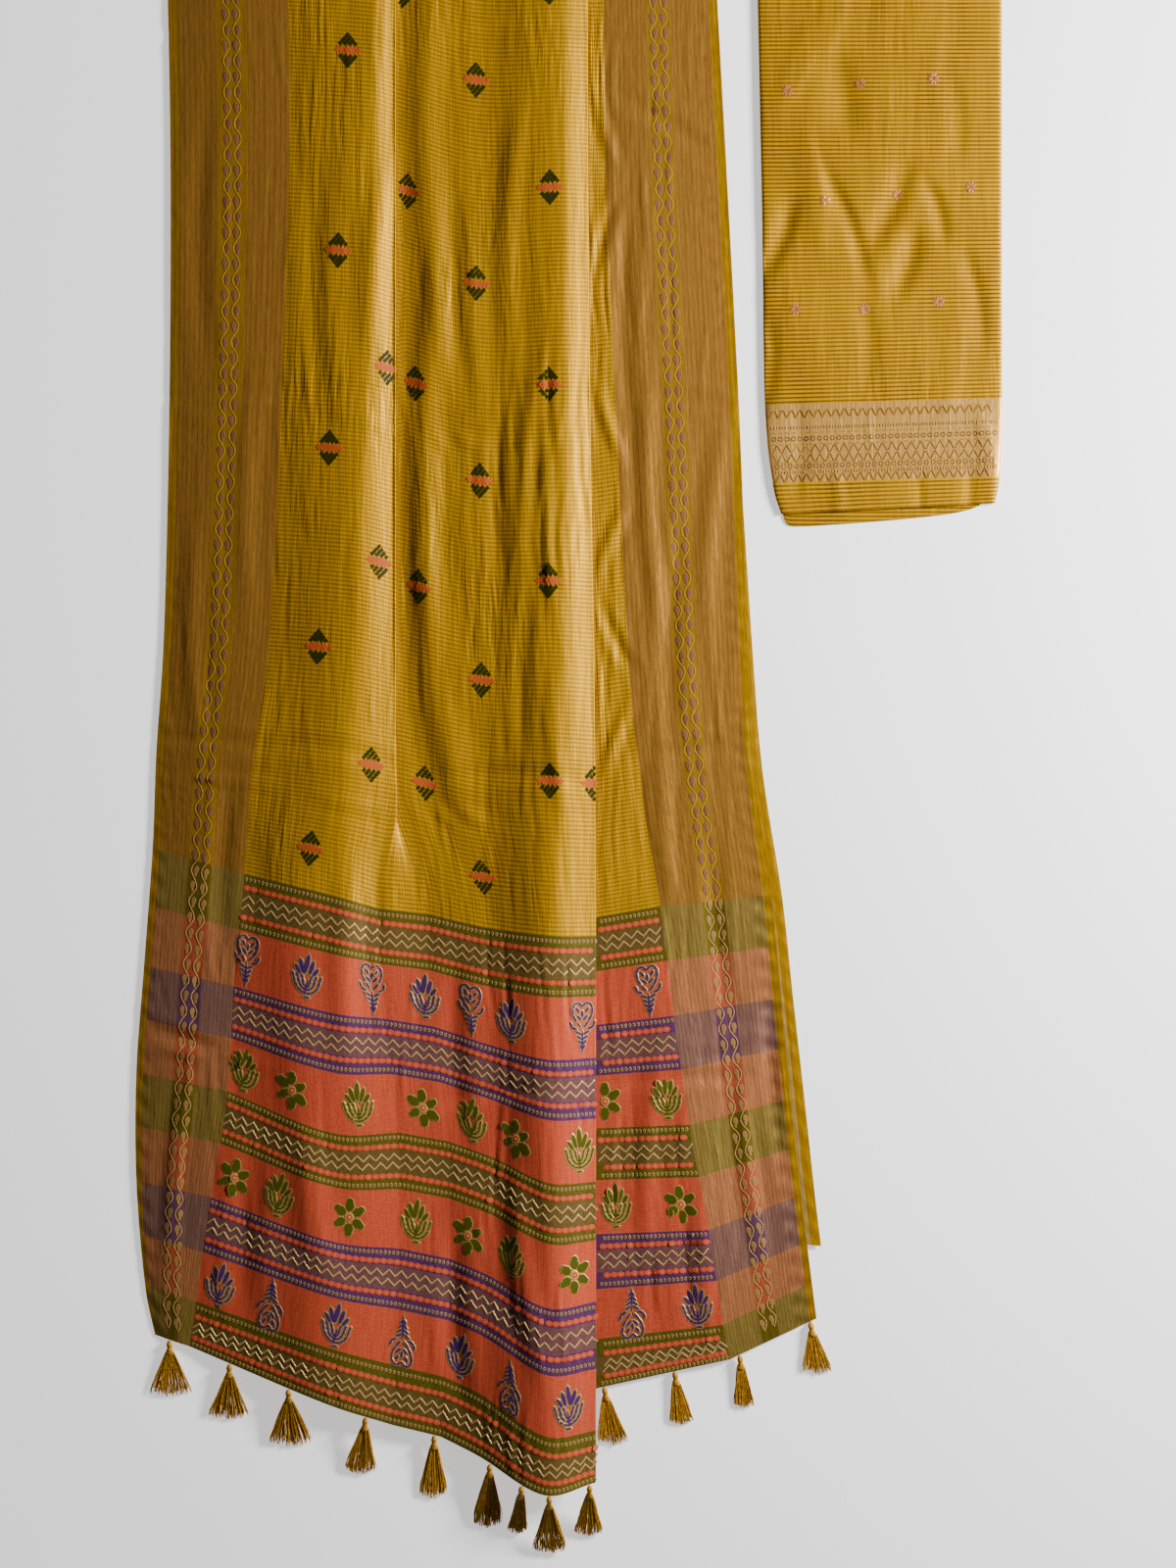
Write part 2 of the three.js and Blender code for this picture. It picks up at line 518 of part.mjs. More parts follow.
// Where a tassel's middle lies below the hem at x, and the hem's height there.
function hemAt(x) {
  const hem = rows[rows.length - 1];
  let y = Infinity, z = 0;
  for (const [from, to] of [[0, seams[3] - 6], [seams[3] + 8, hem.length - 1]])
    for (let j = from; j < to; j += 1)
      for (let t = 0; t <= 1; t += 0.02) {
        const p = hem[j].clone().lerp(hem[j + 1], t);
        if (Math.abs(p.x - x) > 2) continue;
        y = Math.min(y, p.y);
        z = p.z;
      }
  return { y: y - KNOT_TOP - SEAM, z };
}
TASSELS.forEach(({ x, long, lean, wide }, t) => {
  const { y, z } = hemAt(x), zk = Math.max(z, KNOT_R + 0.4); // the knot rests on the surface
  const HEAD = [{ along: KNOT_TOP, wide: 1.6, high: 1.4 }, { along: 3.5, wide: 3, high: 2.8 },
    { along: 0, wide: 3.8, high: 3.6 }, { along: -3.5, wide: 3, high: 2.8 },
    { along: -6, wide: 4.4, high: 3.1 }, { along: -8.4, wide: 5.8, high: 3.4 },
    { along: -11, wide: 6.6, high: 3.5 }];
  const drop = (along) => Math.min(1, Math.max(0, -along / long));
  const fall = (along) => (along > 0 ? zk + ((z - zk) * along) / KNOT_TOP
    : zk + (STRAND_ENDS - zk) * drop(along) ** 0.8);
  let tassel = tube(HEAD.map((h) => ({ x: x + (lean * -h.along) / long, y: y + h.along,
    z: Math.max(fall(h.along), h.high + SEAM), wide: h.wide, high: h.high })), HEAD_SIDES);
  for (let s = 0; s < STRANDS; s += 1) {
    const across = (s + 0.5) / STRANDS - 0.5, low = s % 2;
    const wave = 1.1 * Math.sin(2.3 * s + t);
    const end = long * (1 - 0.16 * Math.abs(across) - 0.05 * ((s * 7 + t * 3) % 5) / 5);
    const rings = [9.6, 18, 0.45 * end, 0.72 * end, end].map((along, k) => {
      const go = along / long, thin = 1 - STRAND_TAPER * go;
      const opened = THREE.MathUtils.clamp((along - 8) / 50, 0, 1);
      const fan = across * (SKIRT_WIDE + (wide - SKIRT_WIDE) * opened);
      const tier = (low ? -STRAND_TIER : STRAND_TIER) * thin;
      const r = STRAND_R * thin;
      return { x: x + fan + lean * go + (k === 3 ? wave * 0.4 : 0), y: y - along,
        z: Math.max(fall(-along) + tier, r + (low ? 0.25 : STRAND_ENDS)), wide: r, high: r };
    });
    tassel = tassel.add(tube(rings, STRAND_SIDES));
  }
  const mesh = tassel.getMesh();
  place(`tassel_${String(t + 1).padStart(2, "0")}`, colours.tassel,
    Array.from(mesh.vertProperties), Array.from(mesh.triVerts));
});

// The middle of its plan is the origin.
const box = new THREE.Box3().setFromObject(group);
group.position.set(-(box.min.x + box.max.x) / 2, -(box.min.y + box.max.y) / 2, 0);

export default group;
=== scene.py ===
import math

import bmesh
import bpy
import numpy as np
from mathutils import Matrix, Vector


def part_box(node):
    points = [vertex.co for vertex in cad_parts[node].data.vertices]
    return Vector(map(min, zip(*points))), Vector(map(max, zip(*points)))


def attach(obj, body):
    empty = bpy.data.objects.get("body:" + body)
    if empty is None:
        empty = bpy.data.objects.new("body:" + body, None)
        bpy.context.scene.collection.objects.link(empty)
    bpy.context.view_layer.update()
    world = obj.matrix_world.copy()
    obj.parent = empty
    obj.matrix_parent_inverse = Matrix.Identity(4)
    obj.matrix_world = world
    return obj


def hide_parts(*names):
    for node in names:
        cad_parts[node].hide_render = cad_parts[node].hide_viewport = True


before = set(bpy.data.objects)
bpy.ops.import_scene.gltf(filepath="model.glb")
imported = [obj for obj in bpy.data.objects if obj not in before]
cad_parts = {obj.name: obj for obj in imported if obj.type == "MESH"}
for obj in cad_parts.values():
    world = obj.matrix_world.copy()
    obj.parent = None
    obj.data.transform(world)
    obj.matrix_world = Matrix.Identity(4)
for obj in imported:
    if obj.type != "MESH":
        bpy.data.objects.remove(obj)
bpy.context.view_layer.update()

# The room: a pale floor under the laid saree, one broad soft light low on the blouse
# piece's side, which rakes across the pleats, and a weak one opposite.
MM = 0.001
BLOUSE_FOLD_X = 246  # where the blouse piece's inner folds start, in the weaver's measure
BLOUSE_FOLD_Y = 1056
fold_low, fold_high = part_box("blouse_inner_folds")
ORIGIN = np.array([fold_low.x - BLOUSE_FOLD_X * MM, fold_high.y - BLOUSE_FOLD_Y * MM, 0.0])
VIEW_TALL = 2.032
VIEW_MIDDLE = (0.024 + ORIGIN[0], -0.0705 + ORIGIN[1])
CAMERA_HIGH = 5.6
SENSOR_WIDE = 36
FLOOR_WIDE = 16
FLOOR_DROP = 0.0004
LIGHTS = {
    # name: place, size, watts
    "key_light": ((2.4, 0.7, 1.12), 0.6, 240),
    "fill_light": ((-2.2, 1.6, 3.2), 3.0, 5),
}
LIT_PLACE = (0, -0.1, 0)
DAYLIGHT = 0.07


def placed(name, data):
    """A new object in the room."""
    made = bpy.data.objects.new(name, data)
    bpy.context.collection.objects.link(made)
    return made


def finish(name, sockets):
    """A new material, its tree and its shader, with the shader's sockets set."""
    made = bpy.data.materials.new(name)
    made.use_nodes = True
    shader = made.node_tree.nodes["Principled BSDF"]
    for socket, value in sockets.items():
        shader.inputs[socket].default_value = value
    return made, made.node_tree, shader


camera_data = bpy.data.cameras.new("camera")
camera_data.sensor_width = SENSOR_WIDE
camera_data.lens = SENSOR_WIDE * CAMERA_HIGH / VIEW_TALL
camera_data.clip_end = 50
camera = placed("camera", camera_data)
camera.location = (*VIEW_MIDDLE, CAMERA_HIGH)
bpy.context.scene.camera = camera

bpy.ops.mesh.primitive_plane_add(size=FLOOR_WIDE, location=(0, 0, -FLOOR_DROP))
floor = bpy.context.object
floor.name = "floor"
floor.data.materials.append(finish("pale_floor", {
    "Base Color": (0.95, 0.95, 0.95, 1), "Roughness": 0.9,
    "Emission Color": (1, 1, 1, 1), "Emission Strength": 0.7})[0])

for name, (place, size, watts) in LIGHTS.items():
    light = bpy.data.lights.new(name, "AREA")
    light.size = size
    light.energy = watts
    lamp = placed(name, light)
    lamp.location = place
    aim = np.subtract(LIT_PLACE, place)
    pitch = math.acos(-aim[2] / np.linalg.norm(aim))
    lamp.rotation_euler = (pitch, 0, math.atan2(aim[1], aim[0]) - math.pi / 2)
world = bpy.data.worlds.new("studio")
world.use_nodes = True
background = world.node_tree.nodes["Background"]
background.inputs["Color"].default_value = (1, 1, 1, 1)
background.inputs["Strength"].default_value = DAYLIGHT
bpy.context.scene.world = world


# The length of cloth: one woven piece, 1.15 m from selvedge to selvedge. Its front stretch
# lies in two long pleats; the first runs out above the pallu, the second down to the hem.
# Where its main lines lie, one row for each weft line from the top fold to the hem.
COLUMNS = ("edge", "border", "ridge1", "pleat1", "middle", "ridge2", "pleat2", "right",
           "border2", "edge2")
ACROSS = {
    "top":   (-523, -366, -252, -225, -122, -11, 23, 25, 44, 187),
    "bust":  (-517, -362, -256, -225, -122, -10, 24, 26, 47, 204),
    "waist": (-518, -372, -268, -225, -119, -11, 27, 29, 61, 220),
    "hip":   (-525, -387, -282, -225, -117, -13, 32, 34, 77, 232),
    "knee":  (-535, -408, -296, -224, -114, -18, 33, 35, 94, 241),
    "pallu": (-540, -420, -304, -215, -108, -26, 34, 36, 117, 262),
    "band2": (-551, -434, -306, -207, -103, -30, 34, 36, 135, 274),
    "band3": (-561, -442, -304, -189, -97, -27, 34, 36, 155, 287),
    "band4": (-561, -464, -303, -187, -103, -28, 34, 36, 180, 300),
    "band5": (-550, -483, -304, -194, -113, -31, 34, 36, 199, 314),
    "hem":   (-537, -491, -308, -198, -116, -32, 34, 36, 208, 320),
}
ALONG = {
    "top":   (1066, 1066, 1055, 1050, 1026, 1022, 1022, 1022, 1022, 1024),
    "bust":  (755, 755, 746, 739, 709, 709, 709, 709, 709, 714),
    "waist": (438, 435, 427, 418, 389, 389, 389, 389, 394, 407),
    "hip":   (133, 125, 115, 102, 77, 72, 69, 72, 79, 97),
    "knee":  (-27, -35, -48, -60, -86, -93, -96, -86, -76, -55),
    "pallu": (-154, -187, -215, -232, -256, -266, -267, -243, -229, -214),
    "band2": (-305, -332, -366, -374, -407, -425, -424, -382, -370, -347),
    "band3": (-444, -468, -521, -521, -553, -584, -584, -516, -511, -478),
    "band4": (-584, -605, -661, -671, -705, -745, -739, -653, -647, -603),
    "band5": (-718, -740, -800, -822, -859, -910, -905, -789, -770, -716),
    "hem":   (-784, -799, -873, -899, -939, -986, -972, -853, -815, -763),
}
HEIGHT = {
    "top":   (3, 11, 20, 14.5, 13, 24, 17.5, 8.5, 9, 7),
    "bust":  (3, 12, 23, 15, 13.5, 27, 18, 8.5, 9.5, 7),
    "waist": (3, 13, 26, 15.5, 14, 30, 19, 8.5, 10, 7),
    "hip":   (3, 13, 28, 15.5, 15, 32, 19.5, 8.5, 10, 7),
    "knee":  (3, 13, 28, 15.5, 15.5, 33, 20, 8.5, 10, 7),
    "pallu": (3, 12, 27, 15.5, 17, 35, 21, 8.5, 10, 7),
    "band2": (3, 12, 27, 16, 18.5, 37, 22, 9, 10, 7),
    "band3": (3, 12, 27, 16.5, 19.5, 39, 23, 9, 10.5, 7),
    "band4": (3, 11, 27, 16.5, 20, 40, 24, 9, 10.5, 7),
    "band5": (2, 8, 25, 15.5, 20, 40, 25, 6, 7, 5),
    "hem":   (1, 5, 22, 14, 20, 39, 26, 4, 5, 3),
}
# Each pleat's depth, and the height of the valley beside the first.
PLEATS = {
    "top":   (97, 105, 8),
    "bust":  (90, 97, 8.5),
    "waist": (79, 89, 8.5),
    "hip":   (42, 71, 8.5),
    "knee":  (15, 61, 9),
    "pallu": (0, 57, 10.5),
    "band2": (0, 57, 13),
    "band3": (0, 58, 14.5),
    "band4": (0, 60, 15),
    "band5": (0, 62, 14),
    "hem":   (0, 64, 12.5),
}
LINES = list(ACROSS)
LOOP = 1.2  # radius of a fold's turn
PLEAT_SHUT = 14  # a pleat less deep than this is partly open
OPEN_RAMP = 60  # the width over which an open pleat comes down
REST = 0.75  # the lowest cloth's middle over the surface
BORDER_CROWN = 2.2  # how far a border swells up between its edges
TOP_REACH = 0.8  # how far the top folds reach out for their height
CELLS = {"border_left": 40, "field_left": 48, "field_middle": 72, "field_right": 32,
         "border_right": 40}


def through(places, values, at):
    """A smooth curve through values at the given places."""
    places, values = np.asarray(places, float), np.asarray(values, float)
    at = np.atleast_1d(np.asarray(at, float))
    last = len(places) - 1
    low, high = np.maximum(np.arange(last + 1) - 1, 0), np.minimum(np.arange(last + 1) + 1, last)
    slope = (values[high] - values[low]) / (places[high] - places[low])
    k = np.clip(np.searchsorted(places, at, side="left") - 1, 0, last - 1)
    span = places[k + 1] - places[k]
    t = (at - places[k]) / span
    return (values[k] * (2 * t**3 - 3 * t**2 + 1) + slope[k] * span * (t**3 - 2 * t**2 + t)
            + values[k + 1] * (3 * t**2 - 2 * t**3) + slope[k + 1] * span * (t**3 - t**2))
def between_rows(rows, at):
    """Every column of a table, read at places between its rows."""
    rows = list(rows)
    return np.array([through(range(len(rows)), column, at) for column in zip(*rows)])


def ramp(value, low, high):
    """From 0 to 1 between low and high, with soft ends."""
    t = np.clip((value - low) / (high - low), 0, 1)
    return t * t * (3 - 2 * t)
def stretch(knots, cells):
    """A panel's stretch of one weft line, in even steps."""
    knots = np.array(knots, float)
    places = np.concatenate([[0], np.cumsum(np.abs(np.diff(knots[:, 0])) + 0.01)])
    at = np.linspace(0, places[-1], cells + 1)
    return np.stack([through(places, knots[:, axis], at) for axis in range(3)], 1)


# Steps along a pleat's hidden path: (share of the path, kind of step, how far along it).
# The path counts as fourteen parts: four round its folded edge, four back under, four round
# its inner turn and two forward again.
TURN, UNDER, FORWARD = 8, 8, 4
FOLD_STEPS = ([(4 / 14 * i / TURN, "turn", i / TURN) for i in range(TURN + 1)]
              + [((4 + 4 * i / UNDER) / 14, "under", i / UNDER) for i in range(1, UNDER)]
              + [((8 + 4 * i / TURN) / 14, "back", i / TURN) for i in range(TURN + 1)]
              + [((12 + 2 * i / FORWARD) / 14, "forward", i / FORWARD)
                 for i in range(1, FORWARD + 1)])


def fold(start, edge, to, depth):
    """A pleat's hidden path, from its folded edge back under and forward again."""
    shut = ramp(depth, 0, PLEAT_SHUT)
    inner = edge - depth + LOOP
    path, shares = [], []
    for share, kind, t in FOLD_STEPS:
        if kind == "turn":
            a = math.radians(90 - 180 * t)
            p = (edge - LOOP + LOOP * math.cos(a), start[2] - LOOP + LOOP * math.sin(a))
        elif kind == "under":
            p = ((edge - LOOP) * (1 - t) + inner * t,
                 (start[2] - 2 * LOOP) * (1 - t) + (to[2] + 2 * LOOP) * t)
        elif kind == "back":
            a = math.radians(90 + 180 * t)
            p = (inner + LOOP * math.cos(a), to[2] + LOOP + LOOP * math.sin(a))
        else:
            p = (inner * (1 - t) + to[0] * t, to[2])
        path.append(p)
        shares.append(share)
    path, shares = np.array(path), np.array(shares)
    run = np.concatenate([[0], np.cumsum(np.hypot(*np.diff(path, axis=0).T))])
    ease = ramp(shares, 0, 1)
    along = shut * run / run[-1] + (1 - shut) * shares
    return np.stack([
        shut * path[:, 0] + (1 - shut) * (start[0] + (to[0] - start[0]) * shares),
        start[1] + (to[1] - start[1]) * along,
        shut * path[:, 1] + (1 - shut) * (start[2] + (to[2] - start[2]) * ease)], 1)


def weft_line(line):
    """One weft line of the front from selvedge to selvedge, in the weaver's millimetres."""
    places = np.array([between_rows(table.values(), line)[:, 0]
                       for table in (ACROSS, ALONG, HEIGHT)])
    at = dict(zip(COLUMNS, places.T))
    depth1, depth2, valley = between_rows(PLEATS.values(), line)[:, 0]
    depth1 = max(depth1, 0)
    opened = 1 - ramp(depth1, 0, PLEAT_SHUT)
    edge1, edge2 = at["pleat1"], at["pleat2"]
    end1, start1, end2 = edge1.copy(), edge1.copy(), edge2.copy()
    end1[0] -= LOOP + opened * OPEN_RAMP / 2
    start1[0] += 2 + opened * OPEN_RAMP / 2
    start1[1] += (at["middle"][1] - edge1[1]) * (start1[0] - edge1[0]) / (
        at["middle"][0] - edge1[0])
    start1[2] = valley
    end2[0] -= LOOP
    parts = [stretch([at["edge"], at["border"]], CELLS["border_left"]),
             stretch([at["border"], at["ridge1"], end1], CELLS["field_left"]),
             fold(end1, edge1[0], start1, depth1),
             stretch([start1, at["middle"], at["ridge2"], end2], CELLS["field_middle"]),
             fold(end2, edge2[0], at["right"], depth2),
             stretch([at["right"], at["border2"]], CELLS["field_right"]),
             stretch([at["border2"], at["edge2"]], CELLS["border_right"])]
    cells = CELLS["border_left"]
    parts[0][:, 2] += BORDER_CROWN * np.sin(np.pi * np.arange(cells + 1) / cells)
    return np.concatenate([parts[0]] + [p[1:] for p in parts[1:]])


# The pallu's stripes: one pattern band at the start of each part below its top line,
# made of these strips, and a plain coral row with motifs after it.
BAND_SHARE = 0.49
BAND = (
    # strip, share of the band, mesh rows
    ("line", 0.030, 1), ("lattice", 0.105, 2), ("line", 0.040, 1), ("beads", 0.125, 2),
    ("zigzag", 0.400, 6), ("beads", 0.125, 2), ("line", 0.040, 1), ("lattice", 0.105, 2),
    ("line", 0.030, 1),
)
BODY_ROWS = (34, 34, 34, 18, 18)
MOTIF_ROWS = 10
PALLU = len(BODY_ROWS)

line_values, strip_of_row = [], []
for part, rows in enumerate(BODY_ROWS):
    line_values += [part + i / rows for i in range(rows)]
    strip_of_row += [("field", part)] * rows
for band in range(len(LINES) - 1 - PALLU):
    last_band = band == len(LINES) - 2 - PALLU
    share = 1.0 if last_band else BAND_SHARE
    at = PALLU + band
    for strip, part, rows in BAND:
        line_values += [at + share * part * i / rows for i in range(rows)]
        strip_of_row += [(strip, band)] * rows
        at += share * part
    if not last_band:
        line_values += [at + (1 - share) * i / MOTIF_ROWS for i in range(MOTIF_ROWS)]
        strip_of_row += [("motifs", band)] * MOTIF_ROWS
line_values.append(len(LINES) - 1.0)
line_values = np.array(line_values)
front = np.array([weft_line(v) for v in line_values])

def turned_over(first, turns):
    """Rows in which a cloth turns over at its top fold, down to the surface."""
    rows = []
    for degrees in turns:
        a = math.radians(degrees)
        row = first.copy()
        row[:, 1] += (first[:, 2] - REST) * TOP_REACH * math.sin(a)
        row[:, 2] = REST + (first[:, 2] - REST) * math.cos(a)
        rows.append(row)
    return rows


turned = turned_over(front[0], (82, 66, 50, 34, 18, 8))
front = np.concatenate([turned, front])
line_values = np.concatenate([np.linspace(-0.06, -0.01, len(turned)), line_values])
strip_of_row = [("field", 0)] * len(turned) + strip_of_row

FOLD_CELLS = len(FOLD_STEPS) - 1
starts = np.cumsum([0, CELLS["border_left"], CELLS["field_left"], FOLD_CELLS,
                    CELLS["field_middle"], FOLD_CELLS, CELLS["field_right"],
                    CELLS["border_right"]])
def fold_step(share):
    """The step nearest a share of a pleat's hidden path."""
    return min(range(FOLD_CELLS + 1), key=lambda i: abs(FOLD_STEPS[i][0] - share))


fold1_seam = starts[2] + fold_step(13 / 14)
fold2_seam = starts[4] + fold_step(6 / 14)
PANELS = {
    "border_left": (0, starts[1]), "field_left": (starts[1], fold1_seam),
    "field_middle": (fold1_seam, fold2_seam), "field_right": (fold2_seam, starts[6]),
    "border_right": (starts[6], starts[7]),
}
pallu_row = int(np.argmin(np.abs(line_values - PALLU)))

# Creases from handling and storing: long soft troughs and ridges pressed into the silk,
# each in a place of its own.
CREASES = (
    # x, y, turned by (degrees from across), long, wide, deep (mm, ridges are positive)
    (-470, 905, 4, 170, 9, -1.2), (-300, 903, -3, 150, 8, -0.9), (-60, 905, 2, 150, 9, -1.3),
    (120, 872, -6, 150, 8, -1.8), (120, 790, -30, 120, 9, -1.6), (-160, 700, 12, 90, 7, 0.8),
    (-440, 437, 3, 180, 8, -1.0), (-300, 440, -2, 160, 7, -1.1), (-90, 436, 3, 190, 9, -1.4),
    (140, 430, -8, 130, 8, -1.3), (-450, -14, -4, 160, 8, -1.2), (-300, -25, -10, 150, 9, -1.3),
    (-80, -57, 0, 180, 9, -1.5), (150, -26, 8, 150, 9, -1.4), (-500, -400, -20, 110, 9, -1.8),
    (-460, -420, -8, 130, 7, 1.2), (-100, -470, 6, 150, 9, -1.2), (150, -450, 4, 150, 8, -1.4),
    (210, -400, 20, 90, 9, 1.3), (-250, 620, 84, 260, 14, 1.6), (-330, 560, 92, 300, 12, -1.4),
    (-80, 640, 88, 320, 12, 1.7), (-150, 560, 94, 260, 11, -1.6), (-60, 330, 86, 280, 10, 1.6),
    (-96, 300, 90, 250, 9, -1.5), (-30, 260, 93, 240, 8, 1.3), (-170, 150, 91, 300, 14, -1.8),
    (-60, 80, 88, 200, 10, -1.3), (-20, -20, 95, 170, 9, 1.2), (70, 520, 90, 330, 10, -1.6),
    (100, 300, 92, 300, 9, 1.5), (130, 120, 88, 260, 12, -1.6), (180, 250, 86, 280, 11, 1.4),
    (120, -120, 94, 200, 12, 1.6), (190, -260, 96, 220, 12, -1.5), (-330, -620, 98, 200, 18, 2.2),
    (-420, -650, 86, 220, 16, -2.0), (-290, -300, 88, 240, 15, 1.8),
    (-150, -420, 92, 240, 14, -2.0), (-60, -700, 97, 260, 12, 2.0),
    (-150, -760, 92, 220, 13, -2.2), (100, -560, 88, 260, 13, 2.0),
    (150, -680, 93, 200, 12, -1.8), (230, -560, 95, 260, 10, 1.8), (260, -450, 94, 220, 9, -1.6),
    (-480, 640, 90, 320, 12, -1.3), (-420, 300, 88, 300, 12, 1.2), (-490, 120, 91, 280, 11, 1.3),
    (-450, -180, 87, 240, 12, -1.6), (-510, -560, 84, 240, 10, 1.6),
    (-187, 800, 90, 560, 18, 3.2), (-187, 350, 90, 480, 18, 4.2), (-168, 40, 98, 330, 20, 4.2),
    (-150, 800, 90, 520, 26, 2.0), (-150, 370, 90, 460, 26, 2.4), (-132, 40, 97, 300, 26, 2.2),
    (-110, 400, 90, 460, 30, 1.4), (54, 250, 66, 90, 7, 1.8), (58, 120, 114, 90, 7, -1.8),
    (60, -10, 70, 90, 7, 1.8), (48, 400, 108, 100, 7, 1.6), (44, 640, 74, 100, 7, -1.6),
    (44, 780, 104, 100, 7, 1.6), (-430, 402, 1, 190, 3.5, 1.6), (-290, 398, -2, 120, 3.5, 2.0),
    (-90, 372, -3, 200, 3.5, 2.1), (-450, -66, -4, 150, 3.5, 1.8), (-290, -98, -9, 130, 3.5, 2.2),
    (-90, -112, -2, 190, 3.5, 2.4), (110, -96, 5, 100, 3.5, 2.2), (-80, 588, 1, 180, 3.5, 0.8),
    (-300, 604, -2, 130, 3.5, 0.8),
)
# Broad swells down the pallu, where it lies over thicker folds.
SWELLS = (
    # x, y, turned, long, wide, high
    (-345, -560, 93, 640, 32, 3.2), (-114, -560, 92, 660, 44, 4.2), (152, -540, 98, 640, 44, 4.0),
)
# Fine crinkles along the warp: where, how many, how deep.
CRINKLES = (
    # x from, x to, y from, y to, count, deep
    (-130, 20, 250, 480, 34, 0.9), (-220, 20, -250, 980, 90, 0.55), (30, 110, -200, 900, 60, 0.8),
    (-380, -240, -150, 980, 60, 0.5), (-500, -180, -880, -250, 60, 0.6),
    (-120, 20, -950, -300, 40, 0.8), (40, 200, -800, -260, 50, 0.8),
    (110, 300, -700, 900, 70, 0.6), (-530, -380, -700, 1000, 60, 0.5),
)


def turned_about(grid, middle, degrees):
    """How far a grid's points lie along a line turned about its middle, and how far off it."""
    x, y, a = grid[..., 0] - middle[0], grid[..., 1] - middle[1], math.radians(degrees)
    return x * math.cos(a) + y * math.sin(a), -x * math.sin(a) + y * math.cos(a)


def crease(grid, middle, degrees, long, wide, deep):
    """A wavering ridge or trough with a slighter one of the other kind at each side."""
    run, off = turned_about(grid, middle, degrees)
    off = off + 0.06 * run * np.sin(run / (0.4 * long))
    return deep * np.exp(-(run / (0.5 * long)) ** 4) * (
        np.exp(-(off / wide) ** 2) - 0.45 * np.exp(-((np.abs(off) - 1.9 * wide) / wide) ** 2))


def swell(grid, middle, degrees, long, wide, high):
    run, off = turned_about(grid, middle, degrees)
    return high * np.exp(-(run / (0.5 * long)) ** 4 - (off / wide) ** 2)


rng = np.random.default_rng(21)
bumps = np.zeros(front.shape[:2])
for x, y, *form in SWELLS:
    bumps += swell(front, (x, y), *form)
for x, y, *form in CREASES:
    bumps += crease(front, (x, y), *form)
for x0, x1, y0, y1, count, deep in CRINKLES:
    for _ in range(count):
        place = (rng.uniform(x0, x1), rng.uniform(y0, y1))
        bumps += crease(front, place, 90 + rng.normal(0, 4), rng.uniform(35, 120),
                        rng.uniform(2.6, 4.4), deep * rng.uniform(-1, 1))
# the puckered gold edge of the right border, and a slighter one on the left
PUCKER = 27  # from one pucker to the next
run_down = front[:, -1, 1][:, None]
from_right = front[:, -1, 0][:, None] - front[..., 0]
from_left = front[..., 0] - front[:, 0, 0][:, None]
wave = np.sin(2 * np.pi * run_down / PUCKER + 1.4 * np.sin(run_down / 61))
for inward, middle, spread, high in ((from_right, 14, 9, 1.5), (from_left, 9, 7, 0.7)):
    bumps += high * wave * np.exp(-((inward - middle) / spread) ** 2)
# none of it reaches the pleats' hidden turns or the top fold
PLEAT1_LOOSENS, PLEAT1_OPENS = 4.4, 4.5  # lines; it runs out between hip and pallu
visible = np.ones(front.shape[:2])
visible[:, starts[4] + 2:starts[5] + 2] = 0
visible[np.ix_(line_values < PLEAT1_LOOSENS, np.arange(starts[2] + 2, starts[3] - 1))] = 0
for _ in range(3):
    visible[:, 1:-1] = (visible[:, :-2] + visible[:, 1:-1] + visible[:, 2:]) / 3
visible[:len(turned)] = 0


def facing(grid):
    """Unit normals of a grid whose rows run down the warp and columns across the weft."""
    down, right = np.gradient(grid, axis=0), np.gradient(grid, axis=1)
    normal = np.cross(down, right)
    return normal / np.linalg.norm(normal, axis=2, keepdims=True)

def run_along(grid, axis):
    """How far each point lies along the cloth from the grid's first edge."""
    steps = np.linalg.norm(np.diff(grid, axis=axis), axis=2)
    return np.insert(np.cumsum(steps, axis=axis), 0, 0, axis=axis)


LOWEST = 0.45  # the front's middle never comes nearer the surface
right_selvedge = front[len(turned):, -1].copy()
front = front + facing(front) * (bumps * visible)[..., None]
front[..., 2] = np.maximum(front[..., 2], LOWEST)
across_run, down_run = run_along(front, 1), run_along(front, 0)
MEAN_ACROSS = np.concatenate([[0], np.cumsum(np.diff(across_run, axis=1).mean(0))])
MEAN_DOWN = np.concatenate([[0], np.cumsum(np.diff(down_run, axis=0).mean(1))])


